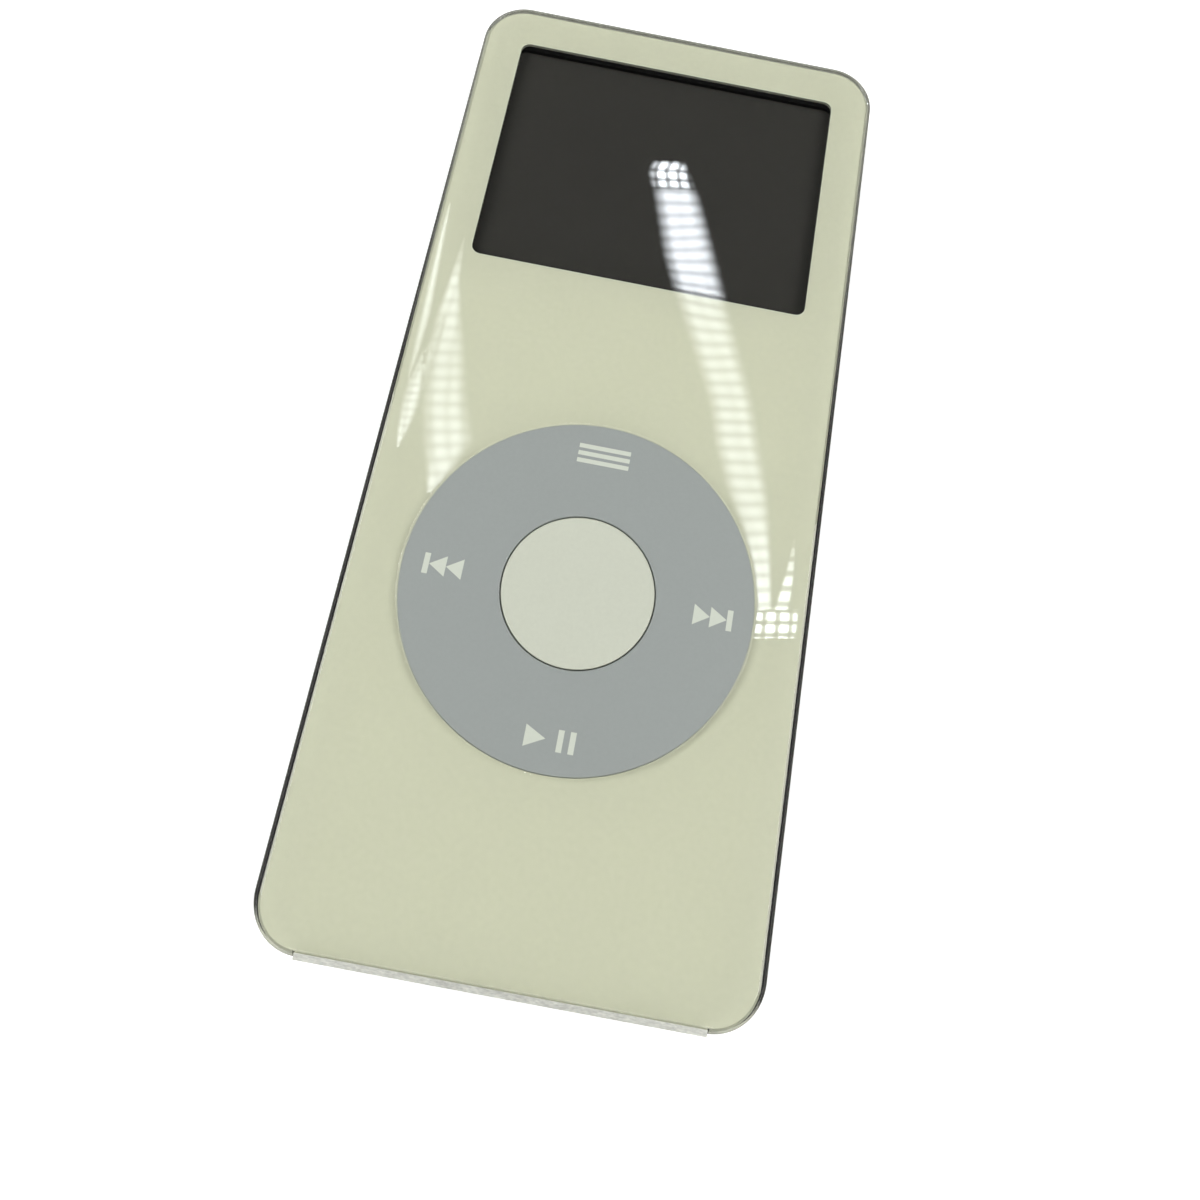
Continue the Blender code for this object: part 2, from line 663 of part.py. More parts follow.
def build_dock():
    """The dock connector's shell, tongue and contacts."""
    hole = (DOCK_SLOT[0] + 0.3, DOCK_SLOT[1] + 0.1)
    outer = (hole[0] + 2 * DOCK_WALL, hole[1] + 2 * DOCK_WALL)
    shell = loft(
        "dock_shell",
        [
            rounded(*hole, 0.6, 0.0, steps=3),
            rounded(*outer, 0.8, 0.0, steps=3),
            rounded(*outer, 0.8, DOCK_DEEP, steps=3),
            rounded(*hole, 0.6, DOCK_DEEP, steps=3),
        ],
        closed=True,
    )
    along_y(shell, (DOCK_X, DOCK_BACK_Y, PORT_Z))
    fit = (hole[0] - 0.12, hole[1] - 0.12)
    tongue = loft("dock_tongue", [rounded(*fit, 0.6, z, steps=3) for z in (0.0, 1.6)])
    along_y(tongue, (DOCK_X, DOCK_BACK_Y, PORT_Z))
    blade_half = DOCK_SLOT[0] / 2 - 1.4
    blade_z = (PORT_Z - 0.55, PORT_Z + 0.25)
    blade_y = (MOUTH_Y + 0.8, DOCK_BACK_Y - 1.5)
    fuse(tongue, box("blade", (DOCK_X - blade_half, DOCK_X + blade_half), blade_y, blade_z))

    count, finger = 12, 0.5
    pitch = (2 * blade_half - 2.0) / (count - 1)
    first = DOCK_X - pitch * (count - 1) / 2 - finger / 2
    last = first + pitch * (count - 1)
    root_y, tip_y = DOCK_BACK_Y - 1.75, MOUTH_Y + 1.1
    outline = [(first, root_y)]
    for number in range(count):
        x = first + pitch * number
        foot = [(x, root_y - 0.3)] if number else []
        outline += foot + [(x, tip_y), (x + finger, tip_y)]
        outline += [(x + finger, root_y - 0.3)] if number < count - 1 else []
    outline.append((last + finger, root_y))
    prism("dock_contacts", outline, blade_z[1] + 0.05, blade_z[1] + 0.17)


def build_jack():
    """The headphone jack's housing, collar and terminals."""
    half_x, half_z = JACK_HALF
    jack = box("jack_housing", (-half_x, half_x), (-half_z, half_z), (0.0, JACK_LONG))
    cut(jack, disc("bore", JACK_R, 1.2, 2 * JACK_LONG, steps=32))
    along_y(jack, (JACK_X, JACK_BACK_Y, PORT_Z))
    collar = turned(
        "jack_collar",
        [(JACK_R, 0), (JACK_R + 0.33, 0), (JACK_R + 0.33, 0.5), (JACK_R, 0.5)],
        (0.0, 0.0),
        32,
    )
    along_y(collar, (JACK_X, -INNER_L + 0.05, PORT_Z))
    x = JACK_X - half_x - 0.25
    for number, back in enumerate((1.75, 4.75), 1):
        at = (x, JACK_BACK_Y - back)
        block(f"jack_terminal_{number}", at, (0.4, 1.2), (PCB_Z[1] + 0.05, 4.4))


def build_hold_switch():
    """The sliding hold knob at the top end and the switch it works."""
    wide, tall = HOLD_KNOB
    knob = loft("hold_knob", [rounded(wide, tall, 0.45, z, steps=3) for z in (0.0, 0.8)])
    along_y(knob, (HOLD_X, HALF_L - 0.1, HOLD_Z))
    flange_y = (HALF_L - WALL - 0.5, HALF_L - WALL - 0.1)
    fuse(knob, box("flange", (HOLD_X - 4.8, HOLD_X + 4.8), flange_y, (HOLD_Z - 0.95, HOLD_Z + 0.95)))
    for number in range(5):
        x = HOLD_X - 1.2 + 0.6 * number
        cut(knob, box("groove", (x - 0.1, x + 0.1), (HALF_L - 0.2, HALF_L + 1), (1.0, 5.0)))
    tail_y = flange_y[0] - 0.05
    block("hold_actuator", (HOLD_X, tail_y - 0.1), (1.4, 0.2), (HOLD_Z + 0.1, HOLD_Z + 0.7))
    block("hold_switch", (HOLD_X + 1.0, tail_y - 0.9), (8.0, 1.0), (PCB_Z[1] + 0.05, 4.2))


def paint():
    """Gives each piece its own material."""
    for slot, names in PIECES.items():
        color, metallic, roughness = MATERIALS[slot]
        for name in names:
            material = bpy.data.materials.new(f"{slot}.{name}")
            material.use_nodes = True
            shader = material.node_tree.nodes["Principled BSDF"]
            shader.inputs["Base Color"].default_value = color
            shader.inputs["Metallic"].default_value = metallic
            shader.inputs["Roughness"].default_value = roughness
            material.diffuse_color = color
            mesh = bpy.data.objects[name].data
            mesh.materials.clear()
            mesh.materials.append(material)


def set_origin(name, at):
    """Moves a piece's origin to a point in millimetres, leaving the piece where it is."""
    made = bpy.data.objects[name]
    offset = Matrix.Translation([value * MM for value in at])
    made.data.transform(offset.inverted())
    made.location = offset.to_translation()


def place():
    """Puts each moving piece's origin on its joint's axis, and parents every piece to one empty."""
    for name in ("wheel_cap", "touch_board", "centre_button"):
        set_origin(name, (0.0, WHEEL_Y, PIVOT_Z))
    for name in ("hold_knob", "hold_actuator"):
        set_origin(name, (HOLD_X, HALF_L - WALL, HOLD_Z))
    base = bpy.data.objects.new("player", None)
    bpy.context.scene.collection.objects.link(base)
    for names in PIECES.values():
        for name in names:
            bpy.data.objects[name].parent = base


def main():
    """Clears the scene, builds every piece, paints it and places it."""
    for made in list(bpy.data.objects):
        bpy.data.objects.remove(made)
    build_front()
    build_rear()
    build_wheel()
    build_screen()
    build_inner_frame()
    build_electronics()
    build_battery()
    build_dock()
    build_jack()
    build_hold_switch()
    paint()
    place()


main()
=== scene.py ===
"""Looks of a slim digital audio player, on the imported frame.

Sizes are in millimetres until a mesh is made. X is the width, Y the length with the screen
towards +Y, and Z the thickness with the front face towards +Z.
"""

import json
import logging
import math
from dataclasses import dataclass, field
from enum import Enum
from typing import Iterable, Sequence

import bpy
import numpy as np
from mathutils import Matrix, Vector


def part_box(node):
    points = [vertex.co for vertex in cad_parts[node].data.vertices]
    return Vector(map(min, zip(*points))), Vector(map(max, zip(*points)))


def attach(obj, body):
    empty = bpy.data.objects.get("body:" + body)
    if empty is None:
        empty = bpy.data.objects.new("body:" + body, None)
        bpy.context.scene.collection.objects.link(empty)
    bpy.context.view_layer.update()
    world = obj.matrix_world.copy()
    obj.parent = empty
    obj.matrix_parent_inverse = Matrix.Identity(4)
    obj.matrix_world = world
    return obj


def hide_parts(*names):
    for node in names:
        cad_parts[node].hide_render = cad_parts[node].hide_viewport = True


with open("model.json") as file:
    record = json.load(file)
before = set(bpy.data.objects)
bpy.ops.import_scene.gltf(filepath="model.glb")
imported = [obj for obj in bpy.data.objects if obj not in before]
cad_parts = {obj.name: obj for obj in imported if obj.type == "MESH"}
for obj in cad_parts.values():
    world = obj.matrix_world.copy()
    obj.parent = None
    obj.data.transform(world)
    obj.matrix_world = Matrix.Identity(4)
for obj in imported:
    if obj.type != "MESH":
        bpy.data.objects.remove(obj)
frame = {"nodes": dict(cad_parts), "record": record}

log = logging.getLogger("player")

MM = 0.001
Point = tuple[float, float]
Place = tuple[float, float, float]

# Sizes that more than one piece is cut to
CASE_CORNER_R = 4.2
WALL = 0.5
STRIP_FROM_SIDE = 4.25
STRIP_GAP = 0.12
WINDOW_SIZE = (31.93, 24.43)
WINDOW_R = 0.9
RING_R = 15.07
HOLE_GAP = 0.05
OVERSHOOT = 1.0
RING_STEPS = 192
SMALL_STEPS = 96

# Painted shade on the rim ends here: from here down the rim's corners are painted pale as a reflection, above they
# are painted dark
SHADE_FROM_Y = -42.0
PAINTED_RIM_LIGHT = "#C9CABD"


class Body(Enum):
    """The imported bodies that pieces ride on."""

    CASE = "case"
    WHEEL = "wheel"
    BUTTON = "select_button"
    HOLD = "hold_slider"


def linear(code: str) -> tuple[float, float, float, float]:
    """Turns an sRGB hex colour into linear RGBA.

    Args:
        code: Six hex digits after a hash.

    Returns:
        Linear red, green, blue and an alpha of 1.
    """
    values = [int(code[i : i + 2], 16) / 255 for i in (1, 3, 5)]
    parts = [v / 12.92 if v <= 0.04045 else ((v + 0.055) / 1.055) ** 2.4 for v in values]
    return (*parts, 1.0)


@dataclass(frozen=True)
class Box:
    """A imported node's box in millimetres."""

    low: np.ndarray
    high: np.ndarray

    @classmethod
    def of(cls, node: str) -> "Box":
        """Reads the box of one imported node."""
        low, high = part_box(node)
        return cls(np.array(low) / MM, np.array(high) / MM)

    @property
    def centre(self) -> np.ndarray:
        """Middle of the box."""
        return (self.low + self.high) / 2

    @property
    def size(self) -> np.ndarray:
        """Width, length and height of the box."""
        return self.high - self.low


@dataclass(frozen=True)
class Finish:
    """A surface: its colour, its shine and the grain that breaks both up.

    grain is the size of the mottling in millimetres along each axis, spread how far the colour
    strays, shine_spread how far the roughness strays, bump the height of the grain and scratches how
    much rougher a scratch is. Each of fades mixes in the painted pale rim colour, a painted
    reflection, along Y: where it starts, where it ends and the share it reaches.
    """

    name: str
    color: str
    roughness: float = 0.4
    metallic: float = 0.0
    grain: Place = (1.0, 1.0, 1.0)
    spread: float = 0.0
    shine_spread: float = 0.0
    bump: float = 0.0
    transmission: float = 0.0
    ior: float = 1.5
    specular: float = 0.5
    scratches: float = 0.0
    fades: tuple[Place, ...] = ()


class Nodes:
    """A small wrapper round one material's node tree."""

    def __init__(self, material: bpy.types.Material) -> None:
        """Turns the material's nodes on and finds its shader."""
        material.use_nodes = True
        self.tree = material.node_tree
        self.shader = self.tree.nodes["Principled BSDF"]

    def add(self, kind: str, inputs: dict | None = None, **settings) -> bpy.types.Node:
        """Adds a node.

        Args:
            kind: Node type without its ShaderNode prefix.
            inputs: Values, sockets or nodes for its inputs, by name or index. A node stands for
                its first output.
            **settings: Attributes of the node.

        Returns:
            The new node.
        """
        made = self.tree.nodes.new("ShaderNode" + kind)
        for key, value in settings.items():
            setattr(made, key, value)
        for key, value in (inputs or {}).items():
            source = value.outputs[0] if isinstance(value, bpy.types.Node) else value
            if isinstance(source, bpy.types.NodeSocket):
                self.tree.links.new(source, made.inputs[key])
            else:
                made.inputs[key].default_value = source
        return made

    def drive(self, name: str, socket: bpy.types.NodeSocket) -> None:
        """Links a socket to an input of the shader."""
        self.tree.links.new(socket, self.shader.inputs[name])

    def clouds(self, grain: Sequence[float], detail: float) -> bpy.types.Node:
        """Cloudy pattern from 0 to 1: noise of the place over the grain, in octaves of detail.

        Args:
            grain: Size of the clouds in millimetres along each axis.
            detail: Octaves of finer noise.

        Returns:
            The node whose first output is the pattern.
        """
        place = self.add("TexCoord").outputs["Object"]
        scale = [1 / (value * MM) for value in grain]
        spot = self.add("Mapping", {"Vector": place, "Scale": scale})
        return self.add("TexNoise", {"Vector": spot, "Scale": 1.0, "Detail": detail})

    def mottle(self, clouds: bpy.types.Node, low: float, high: float) -> bpy.types.Node:
        """Stretches the middle of clouds, 0.3 to 0.7, to the range from low to high."""
        limits = {"From Min": 0.3, "From Max": 0.7, "To Min": low, "To Max": high}
        return self.add("MapRange", {"Value": clouds, **limits})

    def scratches(self, depth: float) -> bpy.types.Node:
        """Fine straight scratches of a depth: long thin noise three ways, cut off at a level.

        Args:
            depth: Value on a scratch; it is 0 elsewhere.

        Returns:
            The node whose first output is the pattern.
        """
        width, thickness, level = 0.05, 3.0, 0.68
        total: bpy.types.Node | float = 0.0
        for turn, length in ((0.35, 9.0), (1.9, 6.0), (2.7, 12.0)):
            place = self.add("TexCoord").outputs["Object"]
            askew = self.add("Mapping", {"Vector": place, "Rotation": (0.0, 0.0, turn)})
            scale = [1 / (value * MM) for value in (length, width, thickness)]
            drawn = self.add("Mapping", {"Vector": askew, "Scale": scale})
            fine = self.add("TexNoise", {"Vector": drawn, "Scale": 1.0, "Detail": 1.0})
            line = self.add("Math", {0: fine, 1: level}, operation="GREATER_THAN")
            total = self.add("Math", {0: total, 1: line}, operation="MAXIMUM")
        return self.add("Math", {0: total, 1: depth}, operation="MULTIPLY")

    def fade(self, color: Sequence[float], fades: Iterable[Place]) -> bpy.types.NodeSocket:
        """A colour that turns to the painted pale rim colour along Y, by the greatest share of the fades.

        Args:
            color: Linear RGBA where nothing fades.
            fades: Y where each starts, Y where it ends and the share it reaches.

        Returns:
            The socket with the mixed colour.
        """
        place = self.add("SeparateXYZ", {0: self.add("TexCoord").outputs["Object"]}).outputs["Y"]
        total: bpy.types.Node | float = 0.0
        for start, end, share in fades:
            limits = {"From Min": start * MM, "From Max": end * MM, "To Min": 0.0, "To Max": share}
            step = self.add("MapRange", {"Value": place, **limits})
            total = self.add("Math", {0: total, 1: step}, operation="MAXIMUM")
        return self.blend(total, color, linear(PAINTED_RIM_LIGHT))

    def blend(
        self, share: bpy.types.Node, first: Sequence[float], second: Sequence[float]
    ) -> bpy.types.NodeSocket:
        """Mixes two linear RGBA colours by a share."""
        # A colour mix keeps its colours in inputs 6 and 7 and its result in output 2.
        return self.add("Mix", {0: share, 6: first, 7: second}, data_type="RGBA").outputs[2]


def material_of(finish: Finish) -> bpy.types.Material:
    """Makes a finish's material, or returns the one already made.

    Args:
        finish: The surface wanted.

    Returns:
        A material named after the finish.
    """
    name = "look_" + finish.name
    known = bpy.data.materials.get(name)
    if known:
        return known
    material = bpy.data.materials.new(name)
    nodes = Nodes(material)
    color = linear(finish.color)
    plain = {
        "Base Color": color,
        "Roughness": finish.roughness,
        "Metallic": finish.metallic,
        "Transmission Weight": finish.transmission,
        "IOR": finish.ior,
        "Specular IOR Level": finish.specular,
    }
    for key, value in plain.items():
        nodes.shader.inputs[key].default_value = value
    if finish.spread:
        cloud = nodes.mottle(nodes.clouds(finish.grain, 3.0), 1 - finish.spread, 1 + finish.spread)
        tinted = nodes.add("VectorMath", {0: color[:3], "Scale": cloud}, operation="SCALE")
        nodes.drive("Base Color", tinted.outputs["Vector"])
    if finish.shine_spread:
        # Smudges are three times as wide as the grain that they lie on.
        smudge = [value * 3 for value in finish.grain]
        low = max(0.0, finish.roughness - finish.shine_spread)
        rough = nodes.mottle(nodes.clouds(smudge, 5.0), low, finish.roughness + finish.shine_spread)
        if finish.scratches:
            fine = nodes.scratches(finish.scratches)
            rough = nodes.add("Math", {0: rough, 1: fine}, operation="ADD")
        nodes.drive("Roughness", rough.outputs[0])
    if finish.fades:
        nodes.drive("Base Color", nodes.fade(color, finish.fades))
    if finish.bump:
        # The bump's grain is a quarter of the colour's, and 0.02 mm deep at full strength.
        height = nodes.clouds([value / 4 for value in finish.grain], 2.0)
        inputs = {"Height": height, "Strength": finish.bump, "Distance": 0.02 * MM}
        nodes.drive("Normal", nodes.add("Bump", inputs).outputs["Normal"])
    return material


# Cast clear acrylic, polished: glassy, with faint wiping smudges.
CLEAR_ACRYLIC = Finish(
    "clear_acrylic", "#FBFCF8", 0.015, transmission=1.0, ior=1.49, grain=(2.5, 2.5, 2.5),
    shine_spread=0.008,
)
# The same acrylic where it is bonded to the tray: no second mirror image.
BONDED_ACRYLIC = Finish(
    "bonded_acrylic", "#FBFCF8", 0.0, transmission=1.0, ior=1.0, grain=(4.0, 4.0, 4.0),
    spread=0.004,
)
# Moulded cream plastic: soft sheen with a fine even speckle.
CREAM_PLASTIC = Finish(
    "cream_plastic", "#B3B4A2", 0.5, grain=(0.5, 0.5, 0.5), spread=0.02, shine_spread=0.05, specular=0.2
)
# Matt black painted shade on the tray's outer wall, where the gap to the steel lies in shade: it frames the face
# with a thin dark line, painted lighter towards the top end.
PAINTED_EDGE_SHADE = Finish(
    "painted_edge_shade", "#070804", 0.7, grain=(0.6, 0.6, 0.6), shine_spread=0.1, specular=0.1,
    fades=((5.0, 42.0, 0.5),),
)
# Moulded edge of the window, painted paler than the face: a painted highlight on the hairline.
LIP_HIGHLIGHT = Finish("lip_painted_highlight", "#B9BDAC", 0.3, grain=(0.6, 0.6, 0.6), spread=0.02)
# Stainless steel polished to a mirror: sharp images crossed by fine scratches.
POLISHED_STEEL = Finish(
    "polished_steel", "#C9C9C6", 0.1, metallic=1.0, grain=(4.0, 4.0, 4.0), spread=0.02,
    shine_spread=0.04, scratches=0.12,
)
# Satin end of the steel wall: pale, with short streaks drawn coarse enough to show.
SATIN_STEEL = Finish(
    "satin_steel", "#DADBD2", 0.5, metallic=0.7, grain=(0.4, 0.12, 0.5), spread=0.16,
    shine_spread=0.1, bump=0.3,
)
# Steel lip in the skin's shade, painted as shade: dark along the sides, painted pale as a reflection at the bottom
# corners and painted lighter towards the top end.
SHADED_STEEL = Finish(
    "shaded_steel", "#0A0B06", 0.4, grain=(0.5, 0.5, 0.5), shine_spread=0.1, specular=0.2,
    fades=((SHADE_FROM_Y, SHADE_FROM_Y - 1.5, 1.0), (15.0, 44.0, 0.4)),
)
# Chamfer of the cream tray in painted shade: a thin line a touch darker than the face.
CHAMFER_SHADE = Finish(
    "chamfer_painted_shade", "#A5A696", 0.4, grain=(0.5, 0.5, 0.5), shine_spread=0.1, specular=0.2
)
# Moulded grey plastic with a fine matt texture: dry to the eye.
RING_PLASTIC = Finish(
    "ring_plastic_grey", "#9DA3A0", 0.5, grain=(0.3, 0.3, 0.3), spread=0.015, shine_spread=0.05,
    bump=0.25,
)
# Moulded cream plastic with the same texture.
BUTTON_PLASTIC = Finish(
    "button_plastic_cream", "#D1D5C4", 0.42, grain=(0.3, 0.3, 0.3), spread=0.015, shine_spread=0.05,
    bump=0.25,
)
# Pale ink: flat and slightly uneven.
PRINT_INK = Finish("print_ink", "#D6DCCE", 0.45, grain=(0.4, 0.4, 0.4), spread=0.01, shine_spread=0.04)
# Liquid crystal screen, switched off: a soft dark grey with no mirror of its own.
DARK_SCREEN = Finish(
    "dark_screen", "#2D2C2A", 0.6, grain=(0.3, 0.3, 0.3), spread=0.03, shine_spread=0.05, specular=0.1
)
# Open-cell black foam: nearly no light comes back.
BLACK_FOAM = Finish("black_foam", "#040404", 0.9, grain=(0.2, 0.2, 0.2), spread=0.3, bump=0.8, specular=0.1)
# Moulded black plastic with a fine grain.
BLACK_PLASTIC = Finish("black_plastic_moulded", "#141414", 0.38, grain=(0.3, 0.3, 0.3), shine_spread=0.08, bump=0.2)
# Moulded pale grey plastic, silky.
PALE_PLASTIC = Finish("pale_plastic", "#D8D9D6", 0.35, grain=(0.3, 0.3, 0.3), shine_spread=0.08, bump=0.2)
# Rolled steel sheet: grey, with the rollers' long streaks.
ROLLED_STEEL = Finish(
    "rolled_steel", "#A9A9A7", 0.32, metallic=1.0, grain=(0.2, 3.0, 3.0), spread=0.06, shine_spread=0.1
)
# Frosted acrylic: milky white.
FROSTED_ACRYLIC = Finish("frosted_acrylic", "#E9EBEC", 0.4, grain=(0.3, 0.3, 0.3), spread=0.03)
# Glass-fibre board under green solder mask: the weave shows as patches.
BOARD = Finish("solder_mask", "#1C5A3C", 0.35, grain=(0.8, 0.8, 0.8), spread=0.2, bump=0.3)
# Moulded epoxy of a chip: dull and gritty.
CHIP_EPOXY = Finish("chip_epoxy", "#1B1B1D", 0.5, grain=(0.2, 0.2, 0.2), spread=0.15, bump=0.3)
# Gold-plated contacts: bright with soft smears.
GOLD_PLATE = Finish("gold_plate", "#D9B65C", 0.22, metallic=1.0, grain=(0.3, 0.3, 0.3), shine_spread=0.08)
# Polyimide flex with copper tracks along Y.
POLYIMIDE = Finish("polyimide", "#B06A22", 0.3, grain=(0.25, 4.0, 4.0), spread=0.2)
# Aluminium laminate of the battery pouch: crinkled.
POUCH_FOIL = Finish("pouch_foil", "#C2C4C4", 0.4, metallic=1.0, grain=(1.5, 1.5, 1.5), spread=0.05, bump=0.6)
# Amber insulating film: smooth with slow tints.
AMBER_FILM = Finish("amber_film", "#A4812E", 0.25, grain=(3.0, 3.0, 3.0), spread=0.05)
# Vinyl wire insulation, red and black.
RED_VINYL = Finish("red_vinyl", "#B3201C", 0.45, grain=(0.4, 0.4, 0.4), spread=0.05)
BLACK_VINYL = Finish("black_vinyl", "#161616", 0.45, grain=(0.4, 0.4, 0.4), spread=0.1)

SLOT_FINISHES = {
    "clear_plastic": CLEAR_ACRYLIC,
    "face_plastic": CREAM_PLASTIC,
    "button_plastic": BUTTON_PLASTIC,
    "ring_plastic": RING_PLASTIC,
    "polished_steel": POLISHED_STEEL,
    "plain_steel": ROLLED_STEEL,
    "screen_glass": DARK_SCREEN,
    "light_guide": FROSTED_ACRYLIC,
    "foam": BLACK_FOAM,
    "board": BOARD,
    "chip": CHIP_EPOXY,
    "black_plastic": BLACK_PLASTIC,
    "gold": GOLD_PLATE,
    "flex": POLYIMIDE,
    "foil": POUCH_FOIL,
    "film": AMBER_FILM,
    "red_wire": RED_VINYL,
    "black_wire": BLACK_VINYL,
}


def rounded(width: float, length: float, radius: float, steps: int = 14) -> np.ndarray:
    """Outline of a rounded rectangle round the origin, counter-clockwise.

    Each corner is a quarter circle of the radius about the point that far in from both sides.

    Args:
        width: Size along x.
        length: Size along y.
        radius: Corner radius.
        steps: Segments in each corner.

    Returns:
        An array of x and y.
    """
    angles = (np.arange(4)[:, None] + np.linspace(0, 1, steps + 1)[None, :]) * math.pi / 2
    sign_x = np.array([1, -1, -1, 1])[:, None]
    sign_y = np.array([1, 1, -1, -1])[:, None]
    x = sign_x * (width / 2 - radius) + radius * np.cos(angles)
    y = sign_y * (length / 2 - radius) + radius * np.sin(angles)
    return np.stack([x, y], axis=-1).reshape(-1, 2)


def circle(radius: float, steps: int) -> np.ndarray:
    """Outline of a circle round the origin: the radius times cosine and sine of even steps."""
    angles = np.arange(steps) * 2 * math.pi / steps
    return radius * np.stack([np.cos(angles), np.sin(angles)], axis=-1)


def grid_object(name: str, rings: np.ndarray, loop: bool = False) -> bpy.types.Object:
    """Makes an object from rings of points, capped at both ends or joined end to end.

    Point j of ring i joins point j + 1 and the same two points of ring i + 1 in one quad.

    Args:
        name: Name of the object.
        rings: Points in millimetres, as (ring, point, xyz).
        loop: True joins the last ring to the first.

    Returns:
        The object, not yet riding on anything.
    """
    count, around = rings.shape[:2]
    low = np.arange(count if loop else count - 1)
    high = (low + 1) % count
    i = np.arange(around)
    j = (i + 1) % around
    quads = np.stack(
        [
            low[:, None] * around + i,
            low[:, None] * around + j,
            high[:, None] * around + j,
            high[:, None] * around + i,
        ],
        axis=-1,
    ).reshape(-1, 4)
    faces = quads.tolist()
    if not loop:
        faces.append(list(range(around))[::-1])
        faces.append(list(range((count - 1) * around, count * around)))
    mesh = bpy.data.meshes.new(name)
    mesh.from_pydata((rings.reshape(-1, 3) * MM).tolist(), [], faces)
    mesh.update()
    made = bpy.data.objects.new(name, mesh)
    bpy.context.scene.collection.objects.link(made)
    return made


def stacked(
    name: str, levels: Iterable[tuple[np.ndarray, float]], centre: Point = (0.0, 0.0), loop: bool = False
) -> bpy.types.Object:
    """A solid through outlines laid at heights, each outline moved to a centre."""
    rings = [
        np.column_stack([outline + np.array(centre), np.full(len(outline), z)]) for outline, z in levels
    ]
    return grid_object(name, np.array(rings), loop)


def turned(
    name: str,
    profile: Sequence[Point],
    centre: Point = (0.0, 0.0),
    steps: int = RING_STEPS,
    loop: bool = True,
) -> bpy.types.Object:
    """A solid of revolution: each pair of radius and height is a circle at that height."""
    return stacked(name, [(circle(radius, steps), z) for radius, z in profile], centre, loop)


def eased(radius: float, top: float, ease: float, sign: int, steps: int = 5) -> list[Point]:
    """A quarter round between a wall and a top, as pairs of radius and height.

    Args:
        radius: Radius of the wall.
        top: Height of the top.
        ease: Radius of the quarter round.
        sign: 1 where the material is inside the wall, -1 where it is outside.
        steps: Segments of the quarter round.

    Returns:
        Points from the wall to the top.
    """
    angles = [math.pi / 2 * step / steps for step in range(steps + 1)]
    return [
        (radius - sign * ease * (1 - math.cos(a)), top - ease * (1 - math.sin(a))) for a in angles
    ]


def along_y(made: bpy.types.Object, at: Sequence[float]) -> bpy.types.Object:
    """Turns a solid built along +Z to run along -Y, then moves it to a point in millimetres."""
    turn = Matrix.Rotation(math.pi / 2, 4, "X")
    made.data.transform(Matrix.Translation([value * MM for value in at]) @ turn)
    return made


def block(name: str, x: Point, y: Point, z: Point) -> bpy.types.Object:
    """A box from its limits along x, y and z, used as a tool."""
    outline = np.array([(x[0], y[0]), (x[1], y[0]), (x[1], y[1]), (x[0], y[1])])
    return stacked(name, [(outline, z[0]), (outline, z[1])])


def combine(target: bpy.types.Object, tool: bpy.types.Object, operation: str) -> None:
    """Joins (UNION) or cuts (DIFFERENCE) the target with a tool, which is used up.

    Args:
        target: The object that stays.
        tool: The object that is removed.
        operation: UNION or DIFFERENCE.
    """
    modifier = target.modifiers.new(operation.lower(), "BOOLEAN")
    modifier.object = tool
    modifier.operation = operation
    modifier.solver = "EXACT"
    graph = bpy.context.evaluated_depsgraph_get()
    mesh = bpy.data.meshes.new_from_object(target.evaluated_get(graph))
    target.modifiers.clear()
    target.data = mesh
    bpy.data.objects.remove(tool)


def cut(target: bpy.types.Object, *tools: bpy.types.Object) -> None:
    """Cuts each tool from the target."""
    for tool in tools:
        combine(target, tool, "DIFFERENCE")


@dataclass
class Piece:
    """A finished object: what it rides on, its finishes and the nodes it stands for."""

    made: bpy.types.Object
    body: Body
    slot: str
    finish: Finish
    nodes: tuple[str, ...] = ()
    sharp_deg: float = 30.0
    extra: tuple[Finish, ...] = ()

    def settle(self) -> None:
        """Shades the object, gives it its finishes, hangs it on its body and reports it."""
        mesh = self.made.data
        mesh.materials.clear()
        for finish in (self.finish, *self.extra):
            mesh.materials.append(material_of(finish))
        mesh.polygons.foreach_set("use_smooth", np.ones(len(mesh.polygons), dtype=bool))
        mesh.set_sharp_from_angle(angle=math.radians(self.sharp_deg))
        weighted = self.made.modifiers.new("weighted", "WEIGHTED_NORMAL")
        weighted.keep_sharp = True
        weighted.weight = 100
        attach(self.made, self.body.value)
        if self.nodes:
            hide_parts(*self.nodes)
        log.info("%s rides on %s, %d faces", self.made.name, self.body.value, len(mesh.polygons))

    def paint(self, index: int, chosen: np.ndarray) -> None:
        """Gives the chosen faces the piece's finish of this index, 0 being the main one.

        Args:
            index: 0 for the main finish, then the extra ones in order.
            chosen: True for each face that takes it.
        """
        values = np.zeros(len(self.made.data.polygons), dtype=np.int32)
        self.made.data.polygons.foreach_get("material_index", values)
        values[chosen] = index
        self.made.data.polygons.foreach_set("material_index", values)

    def faces(self) -> tuple[np.ndarray, np.ndarray]:
        """Reads the faces' centres in millimetres and their normals."""
        count = len(self.made.data.polygons)
        centres = np.empty(count * 3)
        normals = np.empty(count * 3)
        self.made.data.polygons.foreach_get("center", centres)
        self.made.data.polygons.foreach_get("normal", normals)
        return centres.reshape(-1, 3) / MM, normals.reshape(-1, 3)


